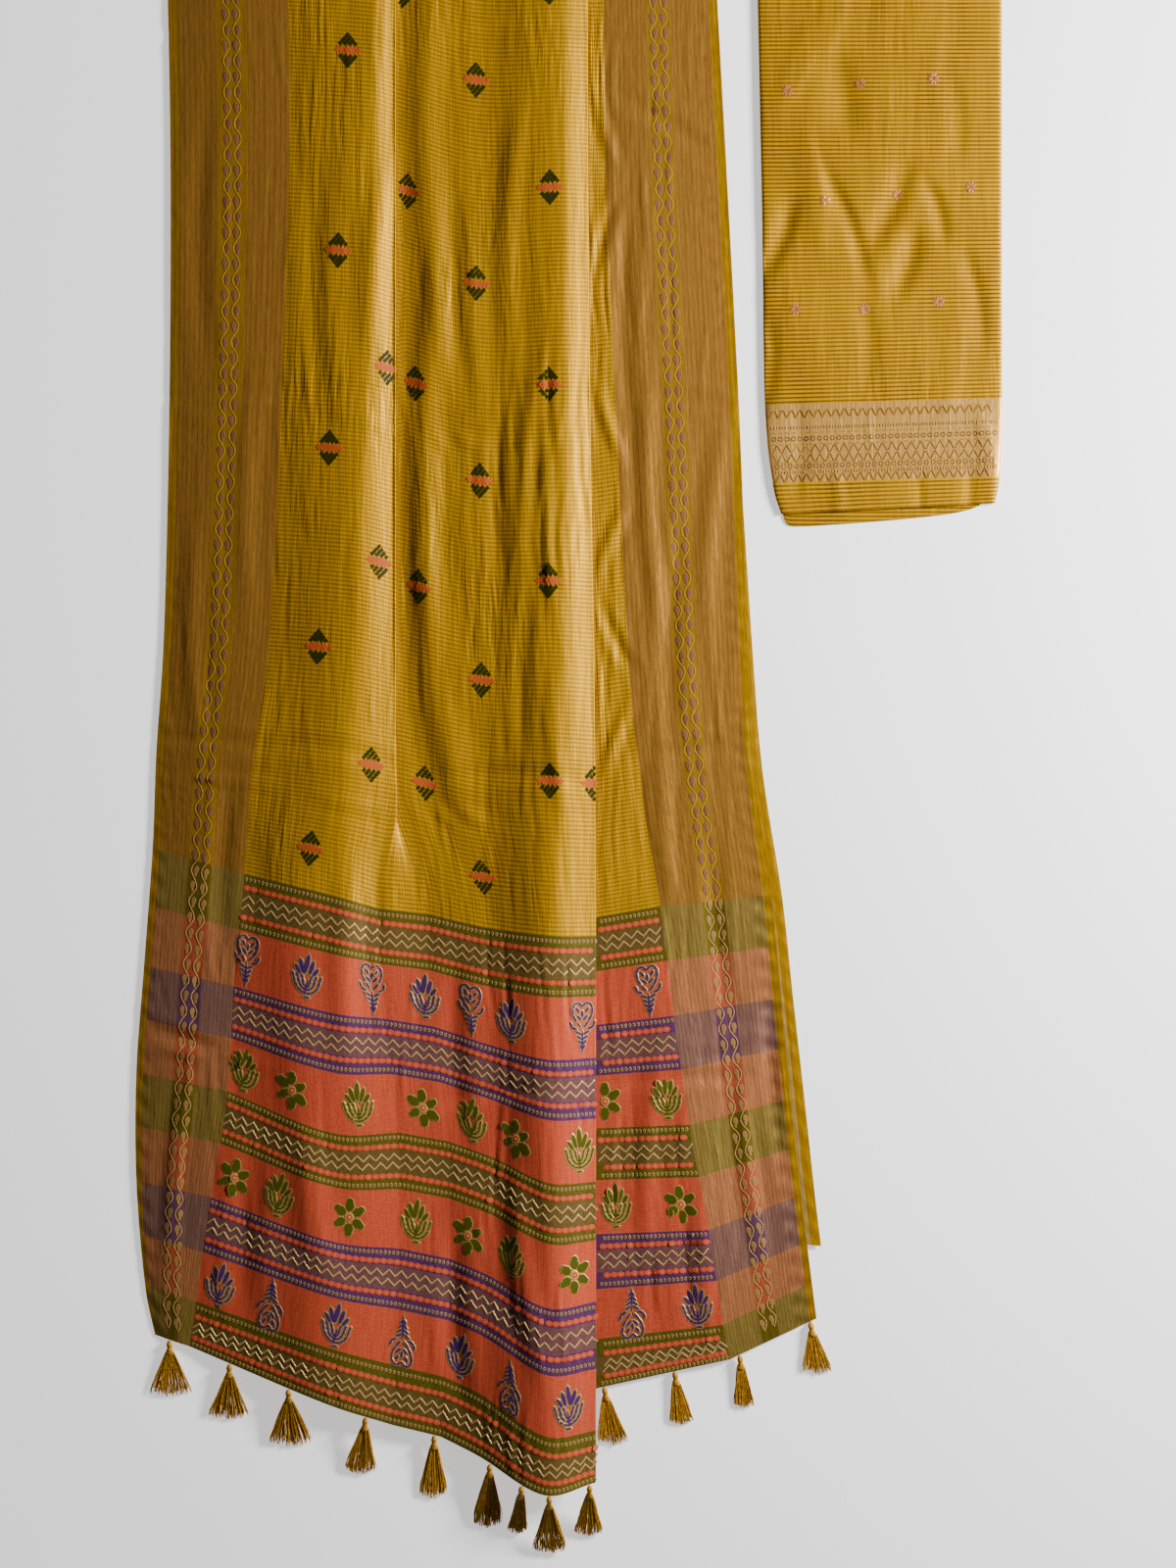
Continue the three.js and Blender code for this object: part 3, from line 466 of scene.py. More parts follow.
def lay_cloth(name, grid, uv, colours=None, wall=0.6):
    """A cloth shell over a grid of points in millimetres, woven coordinates in its UV map."""
    tall, wide = grid.shape[:2]
    k = np.arange(tall * wide).reshape(tall, wide)
    faces = np.stack([k[:-1, :-1], k[1:, :-1], k[1:, 1:], k[:-1, 1:]], -1).reshape(-1, 4)
    mesh = bpy.data.meshes.new(name)
    mesh.from_pydata((grid.reshape(-1, 3) * MM + ORIGIN).tolist(), [], faces.tolist())
    layer = mesh.uv_layers.new(name="weave")
    layer.data.foreach_set("uv", uv.reshape(-1, 2)[faces.ravel()].astype(np.float32).ravel())
    if colours is not None:
        ground = mesh.color_attributes.new("ground", "FLOAT_COLOR", "CORNER")
        flat = np.repeat(colours.reshape(-1, 4), 4, axis=0).astype(np.float32)
        ground.data.foreach_set("color", flat.ravel())
    mesh.polygons.foreach_set("use_smooth", np.ones(len(faces), bool))
    ends = np.empty(len(mesh.edges) * 2, np.int64)
    mesh.edges.foreach_get("vertices", ends)
    i, j = np.divmod(ends.reshape(-1, 2), wide)
    rim = ((i == 0).all(1) | (i == tall - 1).all(1) | (j == 0).all(1) | (j == wide - 1).all(1))
    mesh.edges.foreach_set("use_edge_sharp", rim)
    piece = placed(name, mesh)
    wall_modifier = piece.modifiers.new("wall", "SOLIDIFY")
    wall_modifier.thickness = wall * MM
    wall_modifier.offset = 0
    wall_modifier.use_rim = True
    return piece


def front_piece(name, rows, columns, colours=None, middle=0.0):
    """A stretch of the front; across the weave, u is measured from the middle given."""
    i, j = slice(rows[0], rows[1] + 1), slice(columns[0], columns[1] + 1)
    uv = np.stack(np.meshgrid(MEAN_ACROSS[j] - middle, -MEAN_DOWN[i]), -1) * MM
    return lay_cloth(name, front[i, j], uv, colours)


def dress(piece, solid, weave, slot, **sheet):
    """Gives a piece its weave, hides the solid whose place it takes and attaches the piece to the
    root.
    """
    piece.data.materials.append(weave)
    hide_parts(solid)
    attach(piece, "root")


# The body of the saree: tissue silk, gold zari shot across a mustard silk warp, with a
# darker brown pick every few millimetres. It shows the weave, slubs, a metallic bloom and clouds
# of painted sheen.
GOLD_LIT = (0.53, 0.262, 0.0, 1)
GOLD_PICK = (0.14, 0.055, 0.0, 1)
STRIPE_PITCH = 0.0054


def node(tree, kind, inputs=None, **settings):
    made = tree.nodes.new(kind)
    for key, value in settings.items():
        setattr(made, key, value)
    for key, value in (inputs or {}).items():
        if isinstance(value, bpy.types.NodeSocket):
            tree.links.new(value, made.inputs[key])
        else:
            made.inputs[key].default_value = value
    return made


def maths(tree, operation, *values, clamp=False):
    return node(tree, "ShaderNodeMath", dict(enumerate(values)), operation=operation,
                use_clamp=clamp).outputs[0]


def blend(tree, factor, low, high, kind="MIX"):
    return node(tree, "ShaderNodeMix", {0: factor, 6: low, 7: high}, data_type="RGBA",
                blend_type=kind).outputs[2]


SILK_SHEEN = 0.12  # how much of the light a thread's surface reflects


def silk(name, metallic, roughness):
    """A new material with its tree, shader and woven coordinates in metres."""
    made, tree, shader = finish(name, {"Metallic": metallic, "Roughness": roughness,
                                       "Specular IOR Level": SILK_SHEEN})
    place = node(tree, "ShaderNodeUVMap", uv_map="weave")
    parts = node(tree, "ShaderNodeSeparateXYZ", {0: place.outputs[0]})
    return made, tree, shader, place.outputs[0], parts.outputs[0], parts.outputs[1]


def streaks(tree, place, across, down, detail=3.0):
    """Noise drawn out along the warp or the weft."""
    scaled = node(tree, "ShaderNodeVectorMath", {0: place, 1: (across, down, 1)},
                  operation="MULTIPLY")
    return node(tree, "ShaderNodeTexNoise", {"Vector": scaled.outputs[0], "Scale": 1.0,
                                             "Detail": detail, "Roughness": 0.6}).outputs[0]


def bump(tree, shader, height, distance, strength=1.0):
    made = node(tree, "ShaderNodeBump", {"Height": height, "Distance": distance,
                                         "Strength": strength})
    tree.links.new(made.outputs[0], shader.inputs["Normal"])


def tissue(name, lit, pick, contrast, crinkled):
    """Fine brown picks across a lit ground, slubs, clouds of painted sheen and a crinkled warp."""
    made, tree, shader, place, across, down = silk(name, 0.4, 0.55)
    wobble = streaks(tree, place, 18, 60, 2)
    phase = maths(tree, "ADD", maths(tree, "MULTIPLY", down, 2 * math.pi / STRIPE_PITCH),
                  maths(tree, "MULTIPLY", wobble, 1.4))
    wave = maths(tree, "SINE", phase)
    stripe = maths(tree, "MULTIPLY_ADD", wave, 1.5, 0.25, clamp=True)
    slub = streaks(tree, place, 26, 900, 3)
    sheen_cloud = streaks(tree, place, 14, 5, 2)
    share = maths(tree, "MULTIPLY", stripe,
                  maths(tree, "MULTIPLY_ADD", slub, 1.1, contrast - 0.55))
    base = blend(tree, share, lit, pick)
    # painted sheen: a brighter, yellower copy of the ground, mixed in over clouds of noise
    base = blend(tree, maths(tree, "MULTIPLY_ADD", sheen_cloud, 0.9, -0.2, clamp=True), base,
                 blend(tree, share, (lit[0] * 1.12, lit[1] * 1.2, lit[2], 1), lit))
    tree.links.new(base, shader.inputs["Base Color"])
    warp = streaks(tree, place, 170, 13, 3)
    crinkle = streaks(tree, place, 75, 9, 2)
    patches = maths(tree, "MULTIPLY_ADD", streaks(tree, place, 7, 4, 1), 5.0, -2.3, clamp=True)
    height = maths(tree, "ADD", maths(tree, "MULTIPLY_ADD", wave, -0.06, warp),
                   maths(tree, "MULTIPLY", maths(tree, "MULTIPLY", crinkle, patches), 3.2))
    bump(tree, shader, height, 0.0011, crinkled)
    return made


gold_tissue = tissue("gold_tissue", GOLD_LIT, GOLD_PICK, 0.6, 0.7)
body = (0, pallu_row)
BODY_FLAT = {"field_left": (0.262, 1.27), "field_middle": (0.327, 1.30),
             "field_right": (0.168, 1.27)}
for name, flat in BODY_FLAT.items():
    panel = front_piece(name + "_cloth", body, PANELS[name])
    dress(panel, name, gold_tissue, "gold_tissue", flat=flat, held="folded",
          rests_on=["under_layers"])

# The side borders: beige-gold zari with dotted lines along the warp, a yellow ground up
# the middle for the chain, and a plain yellow selvedge on the outside.
ZARI = (0.45, 0.212, 0.034, 1)
SELVEDGE = (0.50, 0.258, 0.0, 1)
CHAIN_GROUND = (0.455, 0.232, 0.018, 1)
SELVEDGE_WIDE = 0.0105
CHAIN_FROM_EDGE = 0.524  # of the border's width
CHAIN_HALF = 0.0145
DOTTED_PITCH = 0.0056
DOT_PITCH = 0.0027


def zari(name):
    """Across the weave, u is measured from the middle of the border's chain."""
    made, tree, shader, place, across, down = silk(name, 0.55, 0.45)
    ground = node(tree, "ShaderNodeAttribute", attribute_name="ground").outputs[0]
    from_chain = maths(tree, "ABSOLUTE", across)
    outside = maths(tree, "GREATER_THAN", from_chain, CHAIN_HALF + 0.002)
    line = maths(tree, "POWER", maths(tree, "MULTIPLY_ADD", maths(tree, "COSINE", maths(
        tree, "MULTIPLY", from_chain, 2 * math.pi / DOTTED_PITCH)), 0.5, 0.5), 5.0)
    dots = maths(tree, "MULTIPLY_ADD", maths(tree, "SINE", maths(
        tree, "MULTIPLY", down, 2 * math.pi / DOT_PITCH)), 0.5, 0.5)
    dotted = maths(tree, "MULTIPLY", maths(tree, "MULTIPLY", line, dots), outside)
    picks = streaks(tree, place, 300, 1700, 2)
    ends = streaks(tree, place, 1500, 60, 3)
    weave = maths(tree, "MULTIPLY_ADD", maths(tree, "ADD", picks, ends), 1.1, -0.82, clamp=True)
    share = maths(tree, "ADD", maths(tree, "MULTIPLY", dotted, 0.55), weave, clamp=True)
    dark = blend(tree, 1.0, ground, (0.36, 0.30, 0.25, 1), "MULTIPLY")
    tree.links.new(blend(tree, share, ground, dark), shader.inputs["Base Color"])
    warp = streaks(tree, place, 150, 14, 3)
    crush = streaks(tree, place, 60, 60, 2)
    height = maths(tree, "ADD", maths(tree, "MULTIPLY_ADD", dotted, -0.12, warp),
                   maths(tree, "MULTIPLY", crush, 0.8))
    bump(tree, shader, height, 0.0012, 0.6)
    return made


zari_weave = zari("zari_weave")


def border_colours(rows, columns, grounds_of_strip):
    """Each face's ground colour: the border's own, the chain's, or its selvedge's."""
    outer = 0 if columns[0] == 0 else -1
    chain_at = chain_middle(columns)
    colours = np.zeros((rows[1] - rows[0], columns[1] - columns[0], 4))
    middles = (MEAN_ACROSS[columns[0]:columns[1]] + MEAN_ACROSS[columns[0] + 1:columns[1] + 1]) / 2
    for i in range(len(colours)):
        own, chain_own = grounds_of_strip(*strip_of_row[rows[0] + i])
        for j, middle in enumerate(middles):
            colours[i, j] = own
            if abs(middle - chain_at) * MM < CHAIN_HALF:
                colours[i, j] = chain_own
            if abs(middle - MEAN_ACROSS[outer]) * MM < SELVEDGE_WIDE:
                colours[i, j] = SELVEDGE
    return colours


def chain_middle(columns):
    low, high = MEAN_ACROSS[columns[0]], MEAN_ACROSS[columns[1]]
    share = CHAIN_FROM_EDGE if columns[0] == 0 else 1 - CHAIN_FROM_EDGE
    return low + (high - low) * share


def border_piece(name, rows, columns, colours):
    return front_piece(name, rows, columns, colours, chain_middle(columns))


for name in ("border_left", "border_right"):
    colours = border_colours(body, PANELS[name], lambda strip, band: (ZARI, CHAIN_GROUND))
    panel = border_piece(name + "_cloth", body, PANELS[name], colours)
    dress(panel, name, zari_weave, "zari_border", flat=(0.15, 1.25), held="laid",
          rests_on=["under_layers"])

# The pallu, the patterned end: a coral silk ground with bands shot in green and purple,
# each band made of thin lines, a lattice, a beaded strip and a zigzag, and mirrored.
CORAL = (0.66, 0.085, 0.036, 1)
GREEN = (0.095, 0.09, 0.0, 1)
GREEN_GREY = (0.13, 0.085, 0.018, 1)
PURPLE = (0.085, 0.018, 0.115, 1)
PURPLE_GREY = (0.16, 0.06, 0.075, 1)
BAND_COLOURS = (("green", GREEN, GREEN_GREY), ("purple", PURPLE, PURPLE_GREY)) * 3


def band_ground(strip, band):
    _, line_colour, mottled = BAND_COLOURS[band]
    return {"line": line_colour, "lattice": line_colour, "beads": line_colour,
            "zigzag": mottled, "motifs": CORAL}[strip]


def pallu_silk(name):
    made, tree, shader, place, across, down = silk(name, 0.15, 0.5)
    ground = node(tree, "ShaderNodeAttribute", attribute_name="ground").outputs[0]
    picks = streaks(tree, place, 60, 1500, 3)
    ends = streaks(tree, place, 1300, 30, 3)
    mottle = streaks(tree, place, 330, 420, 2)
    uneven = maths(tree, "ADD", maths(tree, "ADD", picks, ends), mottle)
    share = maths(tree, "MULTIPLY_ADD", uneven, 1.1, -1.1, clamp=True)
    dark = blend(tree, 1.0, ground, (0.55, 0.42, 0.42, 1), "MULTIPLY")
    base = blend(tree, share, dark, blend(tree, 0.05, ground, (1.0, 0.55, 0.22, 1)))
    tree.links.new(base, shader.inputs["Base Color"])
    warp = streaks(tree, place, 150, 12, 3)
    bump(tree, shader, maths(tree, "MULTIPLY_ADD", picks, 0.12, warp), 0.001, 0.5)
    return made


pallu_weave = pallu_silk("pallu_weave")
end = (pallu_row, len(front) - 1)
PALLU_FLAT = {"field_left": (0.287, 0.65), "field_middle": (0.226, 0.735),
              "field_right": (0.222, 0.61)}
for name, flat in PALLU_FLAT.items():
    columns = PANELS[name]
    colours = np.array([[band_ground(*strip_of_row[r])] * (columns[1] - columns[0])
                        for r in range(*end)])
    panel = front_piece("pallu_" + name + "_cloth", end, columns, colours)
    dress(panel, "pallu_" + name, pallu_weave, "pallu_weave", flat=flat, held="folded",
          rests_on=["under_layers"])

# The pallu's side borders: the same zari, shot over the colour of each band and row, with
# the chain's ground in a deeper shade of it and the selvedge still plain yellow.
BORDER_GREEN = (0.35, 0.235, 0.05, 1)
BORDER_PURPLE = (0.34, 0.165, 0.12, 1)
BORDER_CORAL = (0.60, 0.225, 0.085, 1)
CHAIN_GREEN = (0.19, 0.14, 0.012, 1)
CHAIN_PURPLE = (0.19, 0.075, 0.14, 1)
CHAIN_CORAL = (0.62, 0.13, 0.055, 1)


def border_ground(strip, band):
    if strip == "motifs":
        return BORDER_CORAL, CHAIN_CORAL
    if BAND_COLOURS[band][0] == "green":
        return BORDER_GREEN, CHAIN_GREEN
    return BORDER_PURPLE, CHAIN_PURPLE


for name in ("border_left", "border_right"):
    colours = border_colours(end, PANELS[name], border_ground)
    panel = border_piece("pallu_" + name + "_cloth", end, PANELS[name], colours)
    dress(panel, "pallu_" + name, zari_weave, "pallu_border_weave", flat=(0.12, 0.59),
          held="laid", rests_on=["under_layers"])

# What is woven into the cloth: supplementary threads that float on its face as small
# raised marks, all laid by one tree that sets a shallow crowned tile at every point.
GOLD_THREAD = (0.76, 0.50, 0.17, 1)
GREEN_THREAD = (0.085, 0.088, 0.0, 1)
DARK_GREEN_THREAD = (0.034, 0.036, 0.0, 1)
CORAL_THREAD = (0.60, 0.105, 0.02, 1)
PURPLE_THREAD = (0.07, 0.018, 0.125, 1)
MAUVE_THREAD = (0.23, 0.10, 0.05, 1)
YELLOW_THREAD = (0.48, 0.30, 0.02, 1)


def new_tree(name, sockets):
    """A Geometry Nodes tree, what it is given, and its inputs' identifiers by their names."""
    tree = bpy.data.node_groups.new(name, "GeometryNodeTree")
    made = {}
    for label, kind in sockets.items():
        made[label] = tree.interface.new_socket(label, in_out="INPUT",
                                                socket_type="NodeSocket" + kind).identifier
    tree.interface.new_socket("Made", in_out="OUTPUT", socket_type="NodeSocketGeometry")
    return tree, tree.nodes.new("NodeGroupInput").outputs, made


def end_tree(tree, shape, material):
    real = node(tree, "GeometryNodeRealizeInstances", {"Geometry": shape})
    dyed = node(tree, "GeometryNodeSetMaterial", {"Geometry": real.outputs[0],
                                                  "Material": material})
    node(tree, "NodeGroupOutput", {0: dyed.outputs[0]})


def named(tree, name, kind):
    return node(tree, "GeometryNodeInputNamedAttribute", {"Name": name},
                data_type=kind).outputs["Attribute"]


def grown(carrier, tree, inputs, values):
    """What a tree makes on a carrier mesh, as a plain mesh."""
    holder = placed(carrier.name, carrier)
    layer = holder.modifiers.new(tree.name, "NODES")
    layer.node_group = tree
    for label, value in values.items():
        layer[inputs[label]] = value
    seen = bpy.context.evaluated_depsgraph_get()
    result = bpy.data.meshes.new_from_object(holder.evaluated_get(seen))
    bpy.data.objects.remove(holder)
    return result


woven_marks, given, MARK_INPUTS = new_tree("woven_marks", {
    "Points": "Geometry", "Sides": "Int", "Crown": "Float", "Spin": "Float",
    "Thread": "Material"})
tile = node(woven_marks, "GeometryNodeMeshCone", {
    "Vertices": given["Sides"], "Radius Top": given["Crown"], "Radius Bottom": 1.0, "Depth": 1.0})
spun = node(woven_marks, "ShaderNodeCombineXYZ", {"Z": given["Spin"]})
tile = node(woven_marks, "GeometryNodeTransform", {"Geometry": tile.outputs["Mesh"],
                                                   "Rotation": spun.outputs[0]})
laid = node(woven_marks, "GeometryNodeInstanceOnPoints", {
    "Points": given["Points"], "Instance": tile.outputs["Geometry"],
    "Rotation": named(woven_marks, "aim", "FLOAT_VECTOR"),
    "Scale": named(woven_marks, "size", "FLOAT_VECTOR")})
end_tree(woven_marks, laid.outputs["Instances"], given["Thread"])


def thread(name, metallic, roughness):
    made, tree, shader = finish(name, {"Metallic": metallic, "Roughness": roughness,
                                       "Specular IOR Level": SILK_SHEEN})
    place = node(tree, "ShaderNodeTexCoord").outputs["Object"]
    fine = node(tree, "ShaderNodeTexNoise", {"Vector": place, "Scale": 900.0, "Detail": 2.0})
    colour = node(tree, "ShaderNodeAttribute", attribute_name="thread").outputs[0]
    dark = blend(tree, 1.0, colour, (0.6, 0.55, 0.5, 1), "MULTIPLY")
    tree.links.new(blend(tree, fine.outputs[0], dark, colour), shader.inputs["Base Color"])
    bump(tree, shader, fine.outputs[0], 0.0002, 0.5)
    return made


silk_thread = thread("silk_thread", 0.0, 0.55)
zari_thread = thread("zari_thread", 0.5, 0.42)

BOX = math.pi / 4  # a four-sided tile turned to lie square
MARK_HIGH = 0.24  # mm
LIFT = 0.38  # of a tile's middle over the cloth's middle, mm


def on_row(rows, row):
    """One row of a table with the front's rows, read between two of them."""
    i = min(int(row), len(front) - 2)
    return rows[i] * (1 - row + i) + rows[i + 1] * (row - i)


def lay_marks(name, marks, thread_material, slot, **shape):
    """marks: rows of (row, column, wide, tall, turn, colour, lift), sizes in millimetres."""
    rows, columns = np.array([m[0] for m in marks]), np.array([m[1] for m in marks])
    i = np.clip(rows.astype(int), 0, len(front) - 2)
    j = np.clip(columns.astype(int), 0, front.shape[1] - 2)
    u, v = (rows - i)[:, None], (columns - j)[:, None]
    corner = [front[i, j], front[i, j + 1], front[i + 1, j], front[i + 1, j + 1]]
    place = (corner[0] * (1 - u) * (1 - v) + corner[1] * (1 - u) * v
             + corner[2] * u * (1 - v) + corner[3] * u * v)
    weft = (corner[1] - corner[0]) * (1 - u) + (corner[3] - corner[2]) * u
    down = (corner[2] - corner[0]) * (1 - v) + (corner[3] - corner[1]) * v
    out = np.cross(down, weft)
    out /= np.linalg.norm(out, axis=1, keepdims=True)
    weft /= np.linalg.norm(weft, axis=1, keepdims=True)
    down /= np.linalg.norm(down, axis=1, keepdims=True)
    skew = -(weft * down).sum(1)
    marks = [sheared(mark, lean) if mark[4] else mark for mark, lean in zip(marks, skew)]
    return marks_at(name, place, weft, out, marks, thread_material, slot, **shape)


def sheared(mark, lean):
    """A turned stroke's direction and length where the warp leans along the weft."""
    row, column, wide, tall, turn, colour, lift = mark
    along = lean * math.cos(turn) - math.sin(turn)
    up = math.sqrt(1 - lean * lean) * math.cos(turn)
    turned = math.atan2(up, along) - math.pi / 2
    return row, column, wide, tall * math.hypot(along, up), turned, colour, lift


def marks_at(name, place, weft, out, marks, thread_material, slot, sides=4, spin=0.0,
             crown=0.55):
    turn = np.array([m[4] for m in marks])[:, None]
    lift = np.array([m[6] for m in marks])[:, None]
    side = weft * np.cos(turn) + np.cross(out, weft) * np.sin(turn)
    up = np.cross(out, side)
    place = (place + out * (LIFT + lift)) * MM + ORIGIN
    aim = np.zeros((len(marks), 3))
    aim[:, 1] = -np.arcsin(np.clip(side[:, 2], -1, 1))
    aim[:, 2] = np.arctan2(side[:, 1], side[:, 0])
    aim[:, 0] = np.arctan2(up[:, 2], out[:, 2])
    size = np.array([(m[2] / 2, m[3] / 2, MARK_HIGH) for m in marks]) * MM
    mesh = bpy.data.meshes.new(name)
    mesh.from_pydata(place.tolist(), [], [])
    for label, values in (("aim", aim), ("size", size)):
        mesh.attributes.new(label, "FLOAT_VECTOR", "POINT").data.foreach_set(
            "vector", values.astype(np.float32).ravel())
    colour = mesh.attributes.new("thread", "FLOAT_COLOR", "POINT")
    colour.data.foreach_set("color", np.array([m[5] for m in marks], np.float32).ravel())
    piece = placed(name, grown(mesh, woven_marks, MARK_INPUTS, {
        "Sides": sides, "Crown": crown, "Spin": spin, "Thread": thread_material}))
    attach(piece, "root")
    return piece


def row_at(line):
    return np.interp(line, line_values, np.arange(len(line_values)))


def column_at(row, x, part):
    """The column of a visible panel where the cloth passes x, in the weaver's millimetres."""
    low, high = {"front": (0, starts[4]), "right": (starts[5], starts[7])}[part]
    xs = np.maximum.accumulate(on_row(front[:, low:high + 1, 0], row))
    return low + np.interp(x, xs, np.arange(len(xs)))


def shifted(row, column, weft, warp):
    """The row and column of a place moved along the weft and up the warp, in mm."""
    j = int(column)
    run = down_run[:, j]
    row2 = np.interp(np.interp(row, np.arange(len(run)), run) - warp, run, np.arange(len(run)))
    run = on_row(across_run, row2)
    column2 = np.interp(np.interp(column, np.arange(len(run)), run) + weft, run,
                        np.arange(len(run)))
    return row2, column2


def is_seen(row, column):
    if starts[4] + 3 < column < starts[5] + 1:
        return False
    return not (starts[2] + 3 < column < starts[3] + 1 and row < row_at(PLEAT1_OPENS))


# Diamond butas over the body: a coral lozenge between two stepped triangles of dark green
# tiles, woven in staggered columns up the whole cloth.
BUTA_WIDE, BUTA_TALL = 37, 46
TILE, TILE_TALL, STEP, STEPS = 6.4, 7, 3.9, 4
LOZENGE_TILES, LOZENGE_TALL, LOZENGE_STEP = 7, 16.5, 2.6
DOT = (2.2, 2.8)
BUTAS = (
    # panel, x and y of the top one, count down the warp, lean from one to the next
    ("left", -287, 873, 5, -12), ("left", -236, 471, 3, -9), ("middle", -215, 957, 5, 7),
    ("middle", -121, 835, 5, 2), ("middle", -26, 957, 5, 0), ("middle", 30, -73, 1, 0),
)
REPEAT = 256.5


def buta(row, column):
    """Two stepped triangles of green tiles, apex outwards, and a coral band between them."""
    tiles = []
    for side in (1, -1):
        for step in range(STEPS):
            for k in range(step + 1):
                weft = (k - step / 2) * TILE
                warp = side * (BUTA_TALL / 2 - 3 - step * STEP)
                tiles.append((*shifted(row, column, weft, warp), TILE, TILE_TALL, 0,
                              DARK_GREEN_THREAD, 0))
    for k in range(LOZENGE_TILES):
        weft = (k - 3) * BUTA_WIDE / 8
        tall = LOZENGE_TALL - LOZENGE_STEP * abs(k - 3)
        tiles.append((*shifted(row, column, weft, 0), 8.4, tall, 0, CORAL_THREAD, 0.04))
    for k in range(3):
        for side in (1, -1):
            place = shifted(row, column, (k - 1) * TILE, side * 4.6)
            tiles.append((*place, *DOT, 0, YELLOW_THREAD, 0.16))
    return tiles


tiles = []
for panel_name, x, y, count, lean in BUTAS:
    for k in range(count):
        target = np.array([x + lean * k, y - REPEAT * k])
        low, high = {"left": (starts[1], starts[2]), "middle": (starts[2], starts[4])}[panel_name]
        gap = np.linalg.norm(front[:, low:high + 1, :2] - target, axis=2)
        i, j = np.unravel_index(np.argmin(gap), gap.shape)
        tiles += buta(float(i), float(low + j))
tiles = [t for t in tiles if is_seen(*t[:2]) and t[0] < pallu_row - 0.5]
lay_marks("body_butas", tiles, silk_thread, "gold_tissue", crown=0.9)

# The borders' chain: two strings of teardrops up the middle of each border, one in every
# bend of a wavy pale line; in the pallu the teardrops are woven in dull gold.
CHAIN_PITCH = 20.2
CHAIN_GAP = 13.6
CHAIN_SWING = 4.5
CHAIN_STEPS = 6
CHAIN_THICK = 1.5
TEARDROP = (7.0, 10.5)
TIP = (0.55 * TEARDROP[0], 0.7 * TEARDROP[1])
PALE_OVAL = (0.36, 0.19, 0.055, 1)
CHAIN_LINE = (0.52, 0.30, 0.02, 1)
PALE_LINE = (0.58, 0.35, 0.10, 1)
chain = []
for columns in (PANELS["border_left"], PANELS["border_right"]):
    centre = np.interp(chain_middle(columns), MEAN_ACROSS, np.arange(len(MEAN_ACROSS)))
    run = down_run[:, int(centre)]
    for k in range(int(run[-1] / CHAIN_PITCH)):
        row = np.interp((k + 0.5) * CHAIN_PITCH, run, np.arange(len(run)))
        if row < len(turned):
            continue
        in_pallu = row > pallu_row
        oval_colour = PALE_OVAL if in_pallu else MAUVE_THREAD
        line_colour = PALE_LINE if in_pallu else CHAIN_LINE
        swing = CHAIN_SWING * (1 if k % 2 else -1)
        for s in (-1, 1):
            lane = s * CHAIN_GAP / 2
            body = shifted(row, centre, lane - 0.42 * swing, 1.2)
            tip = shifted(row, centre, lane - 0.3 * swing, -4.6)
            chain.append((*body, *TEARDROP, 0, oval_colour, 0.06))
            chain.append((*tip, *TIP, 0.03, oval_colour, 0.04))
            for t in range(CHAIN_STEPS):
                ends = [(lane + swing * math.sin(math.pi * q / CHAIN_STEPS),
                         CHAIN_PITCH * (0.5 - q / CHAIN_STEPS)) for q in (t, t + 1)]
                (x0, y0), (x1, y1) = ends
                place = shifted(row, centre, (x0 + x1) / 2, (y0 + y1) / 2)
                turn = math.atan2(y0 - y1, x0 - x1) - math.pi / 2
                long = math.hypot(x1 - x0, y1 - y0) + 0.9
                chain.append((*place, CHAIN_THICK, long, turn, line_colour, 0.1))
lay_marks("border_chains", chain, silk_thread, "zari_border", sides=8, crown=0.8)

# The pallu's bands: a lattice of pale gold rounds between thin lines, coral beads with
# gold centres, and two gold zigzags side by side on the mottled strip.
LATTICE_PITCH = 5.5
LATTICE_ROUND, LATTICE_HOLE = (4.3, 5.6), (1.9, 2.6)
BEAD_PITCH = 9.0
BEAD, BEAD_EYE = (10.4, 8.0), (3.2, 2.4)
BEAD_DOT = (0.62, 0.26, 0.08, 1)
ZIGZAG_PITCH = 16.0
ZIGZAG_TALL = 8.0
ZIGZAG_THICK = 3.0
ZIGZAG_APART = 0.19  # of the strip, each to its side of the strip's middle
LATTICE_GOLD = (0.42, 0.25, 0.08, 1)
field_from, field_to = starts[1], starts[6]


def along_weft(line, pitch):
    """Rows and columns of places a pitch apart across the field on one weft line."""
    row = row_at(line)
    run = on_row(across_run, row)
    return [(row, np.interp(run[field_from] + pitch * (k + 0.5), run, np.arange(len(run))))
            for k in range(int((run[field_to] - run[field_from]) / pitch))]


rounds, strokes = [], []
for band in range(len(LINES) - 1 - PALLU):
    share = 1.0 if band == len(LINES) - 2 - PALLU else BAND_SHARE
    at = PALLU + band
    line_colour = BAND_COLOURS[band][1]
    for strip, part, _ in BAND:
        middle = at + share * part / 2
        if strip == "lattice":
            for row, column in along_weft(middle, LATTICE_PITCH):
                rounds.append((row, column, *LATTICE_ROUND, 0, LATTICE_GOLD, 0.0))
                rounds.append((row, column, *LATTICE_HOLE, 0, line_colour, 0.16))
        elif strip == "beads":
            for k, (row, column) in enumerate(along_weft(middle, BEAD_PITCH)):
                rounds.append((row, column, *BEAD, 0, CORAL, 0.04 * (k % 2)))
                rounds.append((row, column, *BEAD_EYE, 0, BEAD_DOT, 0.2))
        elif strip == "zigzag":
            for lane in (-1, 1):
                lane_line = middle + lane * share * part * ZIGZAG_APART
                for k, (row, column) in enumerate(along_weft(lane_line, ZIGZAG_PITCH / 2)):
                    turn = math.atan2(ZIGZAG_PITCH / 2, ZIGZAG_TALL) * (1 if k % 2 else -1)
                    long = math.hypot(ZIGZAG_TALL, ZIGZAG_PITCH / 2) + 1.2
                    strokes.append((row, column, ZIGZAG_THICK, long * 1.414, turn,
                                    GOLD_THREAD, 0))
        at += share * part
